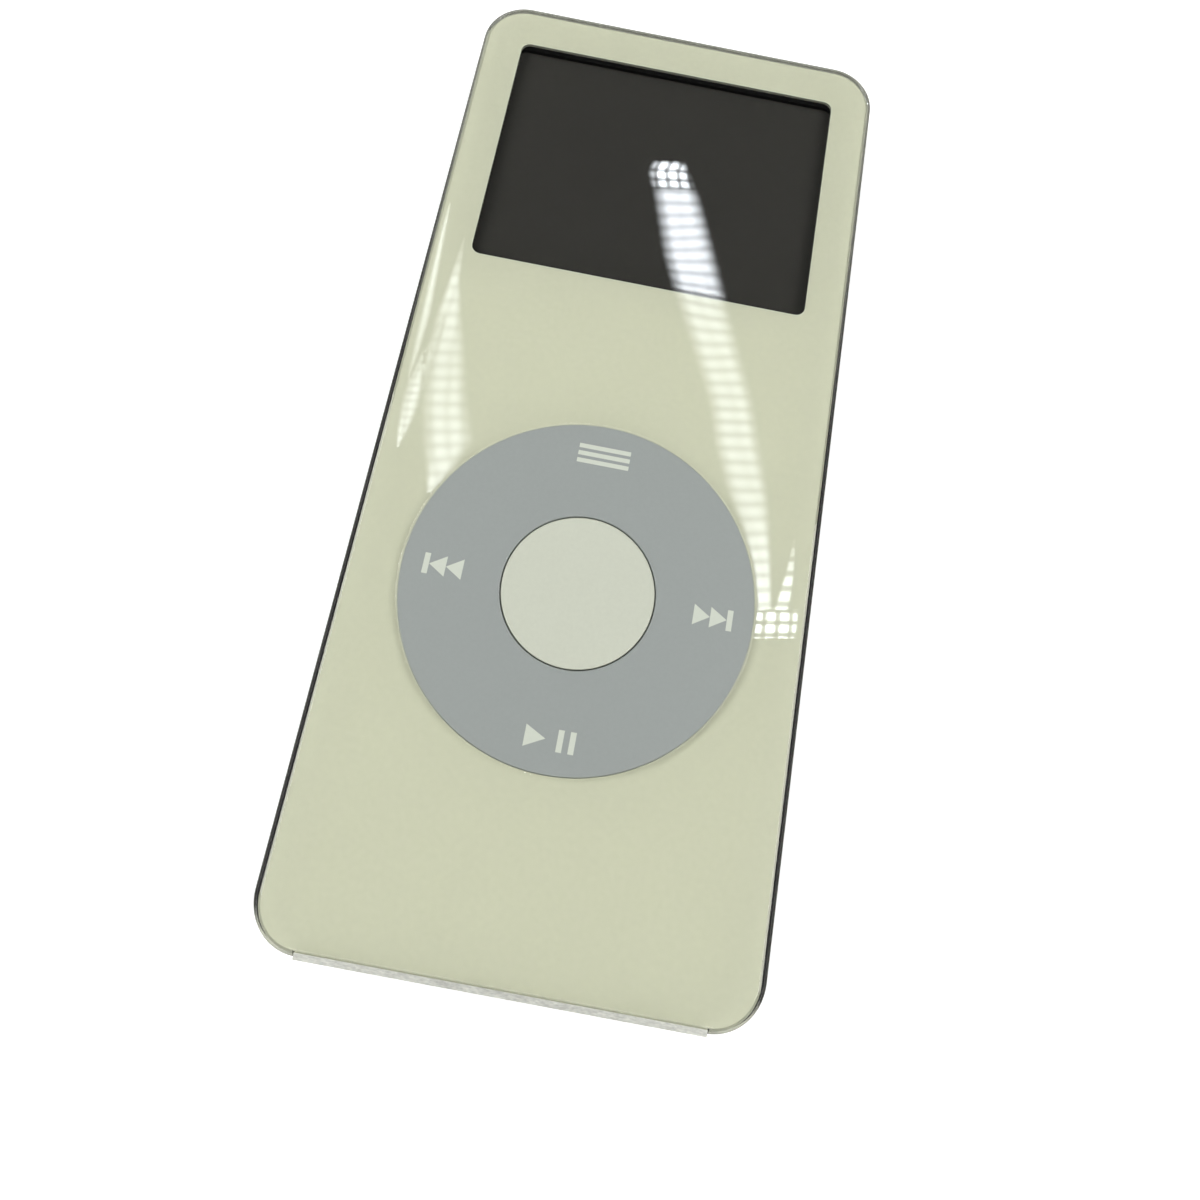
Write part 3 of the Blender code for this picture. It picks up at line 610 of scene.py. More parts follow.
@dataclass(frozen=True)
class Layout:
    """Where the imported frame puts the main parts."""

    skin: Box = field(default_factory=lambda: Box.of("front_panel"))
    tray: Box = field(default_factory=lambda: Box.of("front_backing"))
    tub: Box = field(default_factory=lambda: Box.of("rear_cover"))
    ring: Box = field(default_factory=lambda: Box.of("wheel_cap"))
    button: Box = field(default_factory=lambda: Box.of("centre_button"))
    glass: Box = field(default_factory=lambda: Box.of("display_glass"))
    gasket: Box = field(default_factory=lambda: Box.of("display_gasket"))
    jack: Box = field(default_factory=lambda: Box.of("jack_collar"))
    knob: Box = field(default_factory=lambda: Box.of("hold_knob"))

    @property
    def ring_at(self) -> Point:
        """Centre of the touch ring."""
        return (float(self.ring.centre[0]), float(self.ring.centre[1]))

    @property
    def window_at(self) -> Point:
        """Centre of the screen window."""
        return (float(self.gasket.centre[0]), float(self.gasket.centre[1]))


@dataclass(frozen=True)
class Skin:
    """Clear outer skin with rounded edges, the ring's hole and the strip's notch."""

    layout: Layout
    rim: float = 0.4
    edge_r: float = 0.8
    plate: float = 0.9
    hole_out: float = 0.13
    hole_down: float = 0.1

    def shell(self) -> bpy.types.Object:
        """Plate with a rim: inner outline up, outer outline down, rounded over the top edge."""
        box = self.layout.skin
        width, length = box.size[:2]
        top, low = box.high[2], box.low[2]
        inner = rounded(width - 2 * self.rim, length - 2 * self.rim, CASE_CORNER_R - self.rim)
        levels = [(inner, top - self.plate), (inner, low), (rounded(width, length, CASE_CORNER_R), low)]
        for inset, z in eased(0.0, top, self.edge_r, 1, 10):
            outline = rounded(width + 2 * inset, length + 2 * inset, CASE_CORNER_R + inset)
            levels.append((outline, z))
        return stacked("skin", levels)

    def hole(self) -> bpy.types.Object:
        """Tool for the ring's hole: a cylinder that flares by a quarter ellipse at the top."""
        top = self.layout.skin.high[2]
        radius = RING_R + HOLE_GAP
        flare = [(radius, top - 2), (radius, top - self.hole_down)]
        for step in range(1, 6):
            angle = math.pi / 2 * step / 5
            out = self.hole_out * (1 - math.cos(angle))
            flare.append((radius + out, top - self.hole_down * (1 - math.sin(angle))))
        flare.append((radius + self.hole_out, top + OVERSHOOT))
        return turned("hole", flare, self.layout.ring_at, loop=False)

    def notch(self) -> bpy.types.Object:
        """Tool for the notch that the tub's end strip fills."""
        box, tub = self.layout.skin, self.layout.tub
        half = tub.size[0] / 2 - STRIP_FROM_SIDE + STRIP_GAP
        end = tub.low[1]
        y = (end - OVERSHOOT, end + WALL + STRIP_GAP)
        return block("notch", (-half, half), y, (box.low[2] - OVERSHOOT, box.high[2] + OVERSHOOT))

    def build(self) -> None:
        """Makes the skin; its flat underside is bonded to the tray."""
        made = self.shell()
        cut(made, self.hole(), self.notch())
        made.visible_shadow = False
        extra = (BONDED_ACRYLIC,)
        piece = Piece(made, Body.CASE, "clear_plastic", CLEAR_ACRYLIC, ("front_panel",), extra=extra)
        piece.settle()
        centres, normals = piece.faces()
        under = centres[:, 2] > self.layout.skin.high[2] - self.plate - 0.1
        piece.paint(1, (normals[:, 2] < -0.9) & under)


@dataclass(frozen=True)
class Tray:
    """Coloured tray under the skin: an outer wall in painted shade, a chamfer in painted shade and the face's
    openings.
    """

    layout: Layout
    corner_r: float = 3.6
    wall: float = 0.6
    plate: float = 0.5
    chamfer: float = 0.1
    grow: Point = (0.04, 0.16)

    def build(self) -> None:
        """Makes the tray: inner outline up, outer outline down to the chamfered top."""
        box = self.layout.tray
        width, length = box.size[:2] + np.array(self.grow)
        top, low = box.high[2], box.low[2]
        outer = rounded(width, length, self.corner_r)
        inner = rounded(width - 2 * self.wall, length - 2 * self.wall, self.corner_r - self.wall)
        over = rounded(
            width - 2 * self.chamfer, length - 2 * self.chamfer, self.corner_r - self.chamfer
        )
        levels = [(inner, top - self.plate), (inner, low), (outer, low), (outer, top - self.chamfer)]
        made = stacked("face_tray", [*levels, (over, top)])
        cut(made, *self.openings(low, top))
        extra = (PAINTED_EDGE_SHADE, CHAMFER_SHADE)
        piece = Piece(made, Body.CASE, "face_plastic", CREAM_PLASTIC, ("front_backing",), extra=extra)
        piece.settle()
        self.dress(piece, np.array([width, length]))

    def openings(self, low: float, top: float) -> tuple[bpy.types.Object, ...]:
        """Tools for the ring, the window and the two ports at the bottom end.

        Args:
            low: Lowest height of the tray.
            top: Highest height of the tray.
        """
        hole = circle(RING_R + HOLE_GAP, RING_STEPS)
        window = rounded(*WINDOW_SIZE, WINDOW_R, 10)
        tub = self.layout.tub
        end = tub.low[1]
        half = tub.size[0] / 2 - WALL - 2.5
        return (
            stacked("hole", [(hole, low), (hole, top + OVERSHOOT)], self.layout.ring_at),
            stacked("window", [(window, low), (window, top + OVERSHOOT)], self.layout.window_at),
            block("ports", (-half, half), (end, end + 2), (low - 0.3, top - self.plate + 0.02)),
        )

    def dress(self, piece: Piece, size: np.ndarray) -> None:
        """Lays painted shade on the window's walls, the outer wall, the end wall and the chamfer.

        Args:
            piece: The settled tray.
            size: Its width and length.
        """
        centres, normals = piece.faces()
        flat = centres[:, :2]
        steep = np.abs(normals[:, 2]) < 0.5
        near = (np.abs(flat - self.layout.window_at) < np.array(WINDOW_SIZE) / 2 + 0.05).all(axis=1)
        outside = (np.abs(flat) > size / 2 - self.corner_r * 0.9).any(axis=1)
        ring = np.linalg.norm(flat - self.layout.ring_at, axis=1) < RING_R + 0.5
        end = (normals[:, 1] < -0.9) & (flat[:, 1] < -size[1] / 2 + 0.1)
        walls = outside & ~ring & (flat[:, 1] > SHADE_FROM_Y)
        # Painted shade: the window's walls, the outer wall and the end wall take the black edge shade.
        piece.paint(1, steep & (near | walls | end))
        # The chamfer takes the painted shade line.
        piece.paint(2, (normals[:, 2] > 0.5) & (normals[:, 2] < 0.9))


@dataclass(frozen=True)
class Window:
    """Thin lip round the window painted pale as a highlight, the foam behind it and the dark screen."""

    layout: Layout
    lip_width: float = 0.1
    lip_heights: Point = (0.01, 0.03)
    foam_corner_r: float = 0.8
    foam_offset: float = 0.3
    screen_corner_r: float = 0.3
    screen_ease: Point = (0.1, 0.05)

    def lip(self) -> None:
        """Hairline round the opening, painted pale as a highlight."""
        top = self.layout.tray.high[2]
        under, over = (top + rise for rise in self.lip_heights)
        inner = rounded(*WINDOW_SIZE, WINDOW_R, 10)
        width, length = np.array(WINDOW_SIZE) + 2 * self.lip_width
        wide = rounded(width, length, WINDOW_R + self.lip_width, 10)
        levels = [(inner, under), (wide, under), (wide, over), (inner, over)]
        made = stacked("window_lip", levels, self.layout.window_at, loop=True)
        Piece(made, Body.CASE, "face_plastic", LIP_HIGHLIGHT).settle()

    def foam(self) -> None:
        """Foam frame, its opening a little low, so that it shows under the window's top edge."""
        gasket = self.layout.gasket
        shift = self.foam_offset
        hole = rounded(WINDOW_SIZE[0] + shift, WINDOW_SIZE[1] - shift, self.foam_corner_r, 8)
        hole -= np.array((0.0, shift))
        rim = rounded(gasket.size[0], gasket.size[1], self.foam_corner_r, 8)
        low, high = gasket.low[2], gasket.high[2]
        levels = [(hole, low), (rim, low), (rim, high), (hole, high)]
        made = stacked("foam_surround", levels, self.layout.window_at, loop=True)
        Piece(made, Body.CASE, "foam", BLACK_FOAM, ("display_gasket",)).settle()

    def screen(self) -> None:
        """Dark screen with an eased top edge."""
        glass = self.layout.glass
        inset, drop = self.screen_ease
        width, length = glass.size[:2]
        low, high = glass.low[2], glass.high[2]
        full = rounded(width, length, self.screen_corner_r, 4)
        small = rounded(width - inset, length - inset, self.screen_corner_r, 4)
        levels = [(full, low), (full, high - drop), (small, high)]
        made = stacked("screen", levels, (float(glass.centre[0]), float(glass.centre[1])))
        Piece(made, Body.CASE, "screen_glass", DARK_SCREEN, ("display_glass",)).settle()

    def build(self) -> None:
        """Makes the lip, the foam and the screen."""
        self.lip()
        self.foam()
        self.screen()


@dataclass(frozen=True)
class Tub:
    """Steel back with rounded edges, a satin end strip and three openings."""

    layout: Layout
    back_r: float = 1.9
    part_line_z: float = 4.8
    strip_drop: float = 0.1
    dock_slot: Place = (22.0, 2.6, 0.9)
    dock_x: float = -3.6
    jack_hole_r: float = 2.2
    hold_slot: Place = (7.3, 1.8, 0.5)
    hold_travel: float = 1.0
    slot_depth: float = 1.5

    def cup(self) -> bpy.types.Object:
        """Open tub: outer wall up from the rounded back, inner wall down to the floor.

        Both rounded edges are quarter circles, inset by one less the sine of the angle and
        raised by one less its cosine.
        """
        width, length = self.layout.tub.size[:2]
        strip_z = self.layout.skin.high[2] - self.strip_drop
        levels = []
        for step in range(11):
            angle = math.pi / 2 * step / 10
            inset = self.back_r * (1 - math.sin(angle))
            outline = rounded(width - 2 * inset, length - 2 * inset, CASE_CORNER_R - inset)
            levels.append((outline, self.back_r * (1 - math.cos(angle))))
        inner = rounded(width - 2 * WALL, length - 2 * WALL, CASE_CORNER_R - WALL)
        levels += [(rounded(width, length, CASE_CORNER_R), strip_z), (inner, strip_z)]
        radius = self.back_r - WALL
        for step in range(6, -1, -1):
            angle = math.pi / 2 * step / 6
            inset = WALL + radius * (1 - math.sin(angle))
            outline = rounded(width - 2 * inset, length - 2 * inset, CASE_CORNER_R - inset)
            levels.append((outline, WALL + radius * (1 - math.cos(angle))))
        return stacked("tub", levels)

    def above(self) -> bpy.types.Object:
        """Tool that lowers the rim to the part line everywhere but at the end strip."""
        box = self.layout.tub
        width = box.size[0]
        half = width / 2 - STRIP_FROM_SIDE
        low, high = box.low[1] - OVERSHOOT, box.high[1] + OVERSHOOT
        inside = box.low[1] + 2
        outline = np.array([
            (-width, low), (-half, low), (-half, inside), (half, inside),
            (half, low), (width, low), (width, high), (-width, high),
        ])
        top = self.layout.skin.high[2] + OVERSHOOT
        return stacked("above", [(outline, self.part_line_z), (outline, top)])

    def openings(self) -> list[bpy.types.Object]:
        """Tools for the dock slot, the jack's hole and the hold slot."""
        box = self.layout.tub
        jack, knob = self.layout.jack.centre, self.layout.knob.centre
        bottom, top = box.low[1] + self.slot_depth, box.high[1] + self.slot_depth
        slots = (
            (rounded(*self.dock_slot, 8), (self.dock_x, bottom, float(jack[2]))),
            (circle(self.jack_hole_r, SMALL_STEPS), (float(jack[0]), bottom, float(jack[2]))),
            (rounded(*self.hold_slot, 8), (float(knob[0]) + self.hold_travel, top, float(knob[2]))),
        )
        deep = 2 * self.slot_depth
        return [along_y(stacked("slot", [(shape, 0.0), (shape, deep)]), at) for shape, at in slots]

    def build(self) -> None:
        """Makes the tub: mirror steel, a ground strip and painted shade on the lip and inner wall under the skin.
        """
        made = self.cup()
        cut(made, self.above(), *self.openings())
        extra = (SATIN_STEEL, SHADED_STEEL)
        piece = Piece(made, Body.CASE, "polished_steel", POLISHED_STEEL, ("rear_cover",), extra=extra)
        piece.settle()
        centres, normals = piece.faces()
        flat, height = centres[:, :2], centres[:, 2]
        up = normals[:, 2] > 0.9
        core = self.layout.tub.size[:2] / 2 - CASE_CORNER_R
        outward = flat - np.clip(flat, -core, core)
        inner = (outward * normals[:, :2]).sum(axis=1) < 0
        below = inner & (np.abs(normals[:, 2]) < 0.1) & (height > self.back_r)
        # Painted shade on the lip and inner wall under the skin; its colour turns to a painted pale reflection at
        # the bottom corners.
        piece.paint(2, (up & (height > WALL + 0.1)) | below)
        piece.paint(1, up & (height > self.part_line_z + 0.1))


@dataclass(frozen=True)
class JackMouth:
    """Collar of the headphone jack."""

    layout: Layout
    bore_r: float = 1.8
    outer_ease: float = 0.08
    bore_ease: float = 0.12

    def build(self) -> None:
        """Makes the collar: a ring turned about the bore, with an eased mouth."""
        box = self.layout.jack
        outer = box.size[0] / 2
        deep = box.size[1]
        profile = [(self.bore_r, 0.0), (outer, 0.0), *eased(outer, deep, self.outer_ease, 1)]
        profile += eased(self.bore_r, deep, self.bore_ease, -1)[::-1]
        made = turned("jack_mouth", profile, steps=SMALL_STEPS)
        along_y(made, (float(box.centre[0]), float(box.high[1]), float(box.centre[2])))
        Piece(made, Body.CASE, "black_plastic", BLACK_PLASTIC, ("jack_collar",)).settle()


@dataclass(frozen=True)
class HoldKnob:
    """Hold knob: a ribbed pad on its flange."""

    layout: Layout
    pad: Place = (5.0, 1.6, 0.45)
    pad_top: Place = (4.9, 1.5, 0.4)
    pad_heights: Place = (0.1, 0.72, 0.8)
    flange_thick: float = 0.4
    grooves: int = 5
    groove_r: float = 0.13
    groove_step: float = 0.6

    def build(self) -> None:
        """Makes the pad with an eased top, joins its flange and cuts the grooves."""
        box = self.layout.knob
        at = (float(box.centre[0]), float(box.high[1]), float(box.centre[2]))
        outline = rounded(*self.pad, 8)
        shapes = (outline, outline, rounded(*self.pad_top, 8))
        made = stacked("hold_pad", list(zip(shapes, self.pad_heights)))
        along_y(made, at)
        y = (box.low[1], box.low[1] + self.flange_thick)
        flange = block("flange", (box.low[0], box.high[0]), y, (box.low[2], box.high[2]))
        combine(made, flange, "UNION")
        groove = circle(self.groove_r, 16)
        levels = [(groove, box.low[2] - OVERSHOOT), (groove, box.high[2] + OVERSHOOT)]
        first = at[0] - self.groove_step * (self.grooves - 1) / 2
        for number in range(self.grooves):
            cut(made, stacked("groove", levels, (first + self.groove_step * number, at[1])))
        Piece(made, Body.HOLD, "black_plastic", PALE_PLASTIC, ("hold_knob",)).settle()


@dataclass(frozen=True)
class Ring:
    """Grey touch ring with eased edges, a skirt and a retaining flange."""

    layout: Layout
    inner_r: float = 6.6
    plate: float = 0.75
    ease: float = 0.1
    skirt_inset: float = 0.9
    flange_thick: float = 0.25

    def build(self) -> None:
        """Makes the ring by turning its section about the middle."""
        box = self.layout.ring
        top, low = float(box.high[2]), float(box.low[2])
        plate = top - self.plate
        flange = float(box.size[0]) / 2
        skirt = RING_R - self.skirt_inset
        profile = [
            (self.inner_r, plate), (skirt, plate), (skirt, low), (flange, low),
            (flange, low + self.flange_thick), (RING_R, low + self.flange_thick),
            *eased(RING_R, top, self.ease, 1), *eased(self.inner_r, top, self.ease, -1)[::-1],
        ]
        made = turned("ring", profile, self.layout.ring_at)
        Piece(made, Body.WHEEL, "ring_plastic", RING_PLASTIC, ("wheel_cap",)).settle()


@dataclass(frozen=True)
class SelectButton:
    """Round button on a flange, with a nub below."""

    layout: Layout
    radius: float = 6.5
    ease: float = 0.12
    nub_r: float = 0.8
    nub_lift: float = 0.03
    flange_z: Point = (5.3, 5.6)

    def build(self) -> None:
        """Makes the button by turning its section about the middle."""
        box = self.layout.button
        flange = float(box.size[0]) / 2
        low, top = float(box.low[2]) + self.nub_lift, float(box.high[2])
        under, over = self.flange_z
        profile = [
            (0.01, low), (self.nub_r, low), (self.nub_r, under), (flange, under), (flange, over),
            (self.radius, over), *eased(self.radius, top, self.ease, 1), (self.radius * 0.5, top),
        ]
        made = turned("button", profile, self.layout.ring_at, loop=False)
        nodes = ("centre_button",)
        Piece(made, Body.BUTTON, "button_plastic", BUTTON_PLASTIC, nodes).settle()


@dataclass(frozen=True)
class Legends:
    """Signs printed on the ring: back, forward, play with pause, and a plain three-bar mark."""

    layout: Layout
    tall: float = 1.78
    rise: float = 0.004
    thick: float = 0.01
    side: float = 11.58
    up: float = 12.28
    arrow_long: float = 1.43
    play_long: float = 1.72
    bar_wide: float = 0.48
    line_half: float = 2.3
    line_tall: float = 0.4

    def bar(self, x: float) -> list[Point]:
        """Upright bar whose left side is at x."""
        half = self.tall / 2
        return [(x, -half), (x + self.bar_wide, -half), (x + self.bar_wide, half), (x, half)]

    def arrow(self, base: float, run: float) -> list[Point]:
        """Triangle from an upright side at base to a tip that far on; a negative run points left."""
        half = self.tall / 2
        points = [(base, -half), (base + run, 0.0), (base, half)]
        return points if run > 0 else points[::-1]

    def line(self, y: float) -> list[Point]:
        """Level bar whose lower side is at y."""
        half = self.line_half
        return [(-half, y), (half, y), (half, y + self.line_tall), (-half, y + self.line_tall)]

    def print_sign(self, name: str, shapes: Sequence[Sequence[Point]], centre: Point) -> None:
        """Lays flat shapes on the ring.

        Args:
            name: Name of the sign; each shape's piece has a number added.
            shapes: Outlines round the sign's own centre.
            centre: Where that centre is, counted from the ring's.
        """
        low = float(self.layout.ring.high[2]) + self.rise
        for number, shape in enumerate(shapes):
            outline = np.array(shape) + np.array(centre)
            levels = [(outline, low), (outline, low + self.thick)]
            made = stacked(f"{name}_{number}", levels, self.layout.ring_at)
            Piece(made, Body.WHEEL, "button_plastic", PRINT_INK).settle()

    def build(self) -> None:
        """Prints the four signs."""
        run = self.arrow_long
        ahead = [self.arrow(-1.68, run), self.arrow(-0.24, run), self.bar(1.2)]
        back = [self.arrow(1.68, -run), self.arrow(0.24, -run), self.bar(-1.68)]
        play = [self.arrow(-2.07, self.play_long), self.bar(0.61), self.bar(1.6)]
        lines = [self.line(y) for y in (-0.88, -0.2, 0.48)]
        self.print_sign("forward", ahead, (self.side, 0.0))
        self.print_sign("back", back, (-self.side, 0.0))
        self.print_sign("play_pause", play, (0.0, -self.up))
        self.print_sign("menu_bars", lines, (0.0, self.up))


@dataclass(frozen=True)
class Camera:
    """Camera looking down at the face from near its lower end."""

    at: Place = (0.04, -27.54, 79.9)
    right: Place = (0.98196, 0.17967, 0.05893)
    down: Place = (0.1889, -0.94613, -0.26299)
    lens: float = 26.4
    sensor: float = 36.0
    shift_y: float = -0.0667
    nearest: float = 5.0

    def build(self) -> None:
        """Sets the camera; its axes are made square by taking right's share out of down."""
        data = bpy.data.cameras.new("camera")
        data.lens = self.lens
        data.sensor_width = self.sensor
        data.shift_y = self.shift_y
        data.clip_start = self.nearest * MM
        made = bpy.data.objects.new("camera", data)
        bpy.context.scene.collection.objects.link(made)
        right = np.array(self.right)
        down = np.array(self.down)
        right /= np.linalg.norm(right)
        down -= right * right.dot(down)
        down /= np.linalg.norm(down)
        ahead = np.cross(right, down)
        turn = np.eye(4)
        turn[:3, 0], turn[:3, 1], turn[:3, 2] = right, -down, -ahead
        turn[:3, 3] = np.array(self.at) * MM
        made.matrix_world = Matrix(turn.tolist())
        bpy.context.scene.camera = made


CAMERA = Camera()


@dataclass(frozen=True)
class Streak:
    """A strip lamp overhead, given by where its mirror image lies on the face.

    Each rung holds the left end, the right end and the brightness, from one end of the strip to
    the other. soft is the share of the width that fades out at each side, cell the spacing of
    the ribs in millimetres, and ribs and dots how dark the gaps along and across the strip are.
    """

    name: str
    rungs: tuple[tuple[Point, Point, float], ...]
    soft: float = 0.32
    cell: float = 1.3
    ribs: float = 0.4
    dots: float = 0.12
    height: float = 300.0
    rows: int = 60
    columns: int = 10
    widen: float = 1.22
    gain: float = 1.95
    color: str = "#F4F9FE"

    def build(self, face_z: float) -> None:
        """Hangs the lamp where the camera sees it mirrored in the face.

        Rungs are spaced evenly along the strip's middle line by linear interpolation. A point on
        the face is then carried away from the camera by 1 plus the ratio of the lamp's height to
        the camera's, which is where a level mirror shows it.

        Args:
            face_z: Height of the face.
        """
        left = np.array([rung[0] for rung in self.rungs])
        right = np.array([rung[1] for rung in self.rungs])
        bright = np.array([rung[2] for rung in self.rungs])
        middle = (left + right) / 2
        steps = np.linalg.norm(np.diff(middle, axis=0), axis=1)
        run = np.concatenate([[0.0], np.cumsum(steps)])
        along = np.linspace(0.0, run[-1], self.rows)
        across = np.linspace(0.0, 1.0, self.columns)
        low = np.stack([np.interp(along, run, left[:, i]) for i in (0, 1)], axis=-1)
        high = np.stack([np.interp(along, run, right[:, i]) for i in (0, 1)], axis=-1)
        share = (across[:, None] - 0.5) * self.widen + 0.5
        spots = low[:, None] * (1 - share) + high[:, None] * share
        eye = np.array(CAMERA.at)
        grow = 1 + self.height / (eye[2] - face_z)
        places = eye[:2] + (spots.reshape(-1, 2) - eye[:2]) * grow
        full = np.column_stack([places, np.full(len(places), face_z + self.height)])
        flow = np.empty((self.rows, self.columns, 3))
        flow[..., 0] = across
        flow[..., 1] = along[:, None]
        flow[..., 2] = np.interp(along, run, bright)[:, None]
        width = np.linalg.norm(high - low, axis=1)
        self.hang(full, flow, np.repeat(width, self.columns))

    def hang(self, places: np.ndarray, flow: np.ndarray, width: np.ndarray) -> None:
        """Makes the lamp's mesh with its attributes.

        Args:
            places: Points in millimetres, row by row.
            flow: For each point the share across, the way along and the brightness.
            width: For each point the strip's width on the face.
        """
        row = np.arange(self.rows - 1)[:, None] * self.columns
        i = (row + np.arange(self.columns - 1)).ravel()
        faces = np.stack([i, i + 1, i + 1 + self.columns, i + self.columns], axis=-1)
        mesh = bpy.data.meshes.new(self.name)
        mesh.from_pydata((places * MM).tolist(), [], faces.tolist())
        mesh.attributes.new("flow", "FLOAT_VECTOR", "POINT").data.foreach_set("vector", flow.ravel())
        mesh.attributes.new("wide", "FLOAT", "POINT").data.foreach_set("value", width)
        mesh.materials.append(self.material())
        made = bpy.data.objects.new(self.name, mesh)
        bpy.context.scene.collection.objects.link(made)
        made.visible_camera = False
        made.visible_diffuse = False

    def material(self) -> bpy.types.Material:
        """Glow that fades at the sides and breaks up into rows of cells.

        The cells are sine waves along and across the strip, those along it swayed by slow noise.
        """
        material = bpy.data.materials.new(self.name)
        nodes = Nodes(material)
        nodes.shader.inputs["Base Color"].default_value = (0.0, 0.0, 0.0, 1.0)
        nodes.shader.inputs["Specular IOR Level"].default_value = 0.0
        nodes.shader.inputs["Emission Color"].default_value = linear(self.color)
        flow = nodes.add("Attribute", attribute_name="flow").outputs["Vector"]
        wide = nodes.add("Attribute", attribute_name="wide").outputs["Fac"]
        across, along, glow = nodes.add("SeparateXYZ", {0: flow}).outputs
        place = nodes.add("TexCoord").outputs["Object"]
        slow = nodes.add("Mapping", {"Vector": place, "Scale": [1 / (60.0 * MM)] * 3})
        noise = nodes.add("TexNoise", {"Vector": slow, "Scale": 1.0, "Detail": 1.0})
        sway = nodes.add("Math", {0: noise, 1: 1.2}, operation="MULTIPLY")
        rows = nodes.add("Math", {0: along, 1: self.cell}, operation="DIVIDE")
        rows = nodes.add("Math", {0: rows, 1: sway}, operation="ADD")
        lanes = nodes.add("Math", {0: across, 1: wide}, operation="MULTIPLY")
        lanes = nodes.add("Math", {0: lanes, 1: self.cell * 0.9}, operation="DIVIDE")
        for count, depth in ((rows, self.ribs), (lanes, self.dots)):
            turns = nodes.add("Math", {0: count, 1: 2 * math.pi}, operation="MULTIPLY")
            wave = nodes.add("Math", {0: turns}, operation="SINE")
            limits = {"From Min": -1.0, "From Max": 0.3, "To Min": 1 - depth, "To Max": 1.0}
            band = nodes.add("MapRange", {"Value": wave, **limits}, interpolation_type="SMOOTHSTEP")
            glow = nodes.add("Math", {0: glow, 1: band}, operation="MULTIPLY")
        glow = nodes.add("Math", {0: glow, 1: self.gain}, operation="MULTIPLY")
        for edge in (across, nodes.add("Math", {0: 1.0, 1: across}, operation="SUBTRACT")):
            limits = {"From Min": 0.0, "From Max": self.soft}
            side = nodes.add("MapRange", {"Value": edge, **limits}, interpolation_type="SMOOTHSTEP")
            glow = nodes.add("Math", {0: glow, 1: side}, operation="MULTIPLY")
        nodes.drive("Emission Strength", glow.outputs[0])
        return material


STREAKS = (
    Streak("lamp_tip", (
        ((-0.6, 29.6), (2.2, 30.1), 20.0), ((-0.8, 28.4), (2.7, 29.1), 30.0),
        ((-0.4, 27.1), (3.3, 27.9), 24.0), ((-0.1, 26.5), (3.6, 27.2), 14.0),
    ), cell=1.0, ribs=0.7, dots=0.7),
    Streak("lamp_screen", (
        ((-0.1, 26.5), (3.8, 27.2), 13.2), ((0.5, 24.6), (4.6, 25.4), 14.6),
        ((2.1, 19.6), (6.6, 20.4), 15.0), ((3.5, 16.3), (8.2, 16.3), 14.2),
    ), ribs=0.36),
    Streak("lamp_right", (
        ((3.4, 16.5), (8.1, 16.5), 5.0), ((6.7, 9.5), (10.6, 10.3), 4.4),
        ((8.5, 5.6), (12.2, 6.4), 4.4), ((9.6, 1.7), (13.3, 2.5), 4.6),
        ((11.1, -2.0), (14.5, -1.3), 4.5), ((13.0, -5.5), (15.3, -5.0), 5.0),
        ((14.4, -9.0), (15.9, -8.7), 7.0), ((15.2, -12.4), (16.4, -12.0), 9.0),
    )),
    Streak("lamp_spots", (
        ((15.3, -12.2), (18.4, -11.6), 12.0), ((15.4, -13.4), (18.5, -12.8), 20.0),
        ((15.4, -14.7), (18.4, -14.1), 16.0),
    ), soft=0.1, cell=1.05, ribs=0.95, dots=0.9),
    Streak("lamp_arm", (
        ((17.5, -5.6), (17.7, -5.6), 1.0), ((17.2, -8.5), (17.9, -8.3), 6.0),
        ((16.9, -10.4), (17.9, -10.2), 11.0), ((16.6, -12.0), (17.8, -11.8), 12.0),
    ), soft=0.3, cell=1.4, ribs=0.8, dots=0.0),
    Streak("lamp_left", (
        ((-16.8, 17.4), (-16.6, 17.4), 0.4), ((-17.0, 14.4), (-16.3, 14.6), 2.2),
        ((-17.1, 12.6), (-16.1, 12.8), 5.0), ((-17.4, 9.0), (-15.2, 9.4), 4.5),
        ((-17.4, 5.5), (-14.2, 6.1), 4.0), ((-17.0, 2.9), (-13.5, 3.6), 4.0),
        ((-16.5, 0.0), (-12.7, 0.7), 4.4), ((-15.7, -3.1), (-11.6, -2.3), 5.0),
        ((-15.0, -5.2), (-12.4, -4.7), 5.2), ((-14.4, -7.6), (-13.7, -7.5), 6.0),
    ), soft=0.36, ribs=0.32, dots=0.2),
    Streak("lamp_thread", (
        ((-18.9, 20.6), (-18.7, 20.6), 3.0), ((-19.0, 17.6), (-18.5, 17.7), 4.5),
        ((-18.9, 12.9), (-18.2, 13.1), 5.0), ((-18.8, 8.7), (-17.9, 8.9), 4.4),
        ((-18.7, 5.2), (-18.0, 5.3), 3.2), ((-18.6, 2.4), (-18.2, 2.5), 1.6),
    ), soft=0.5, ribs=0.1, dots=0.0),
    Streak("lamp_lens", (
        ((-16.7, 9.1), (-16.5, 9.1), 2.4), ((-17.8, 5.4), (-16.6, 5.6), 3.6),
        ((-18.4, 2.3), (-16.7, 2.6), 4.6), ((-18.4, -0.4), (-16.9, -0.2), 5.4),
        ((-18.2, -2.6), (-17.3, -2.5), 5.6), ((-17.9, -4.1), (-17.7, -4.1), 5.0),
    ), soft=0.4, cell=0.8, ribs=0.35, dots=0.3),
)


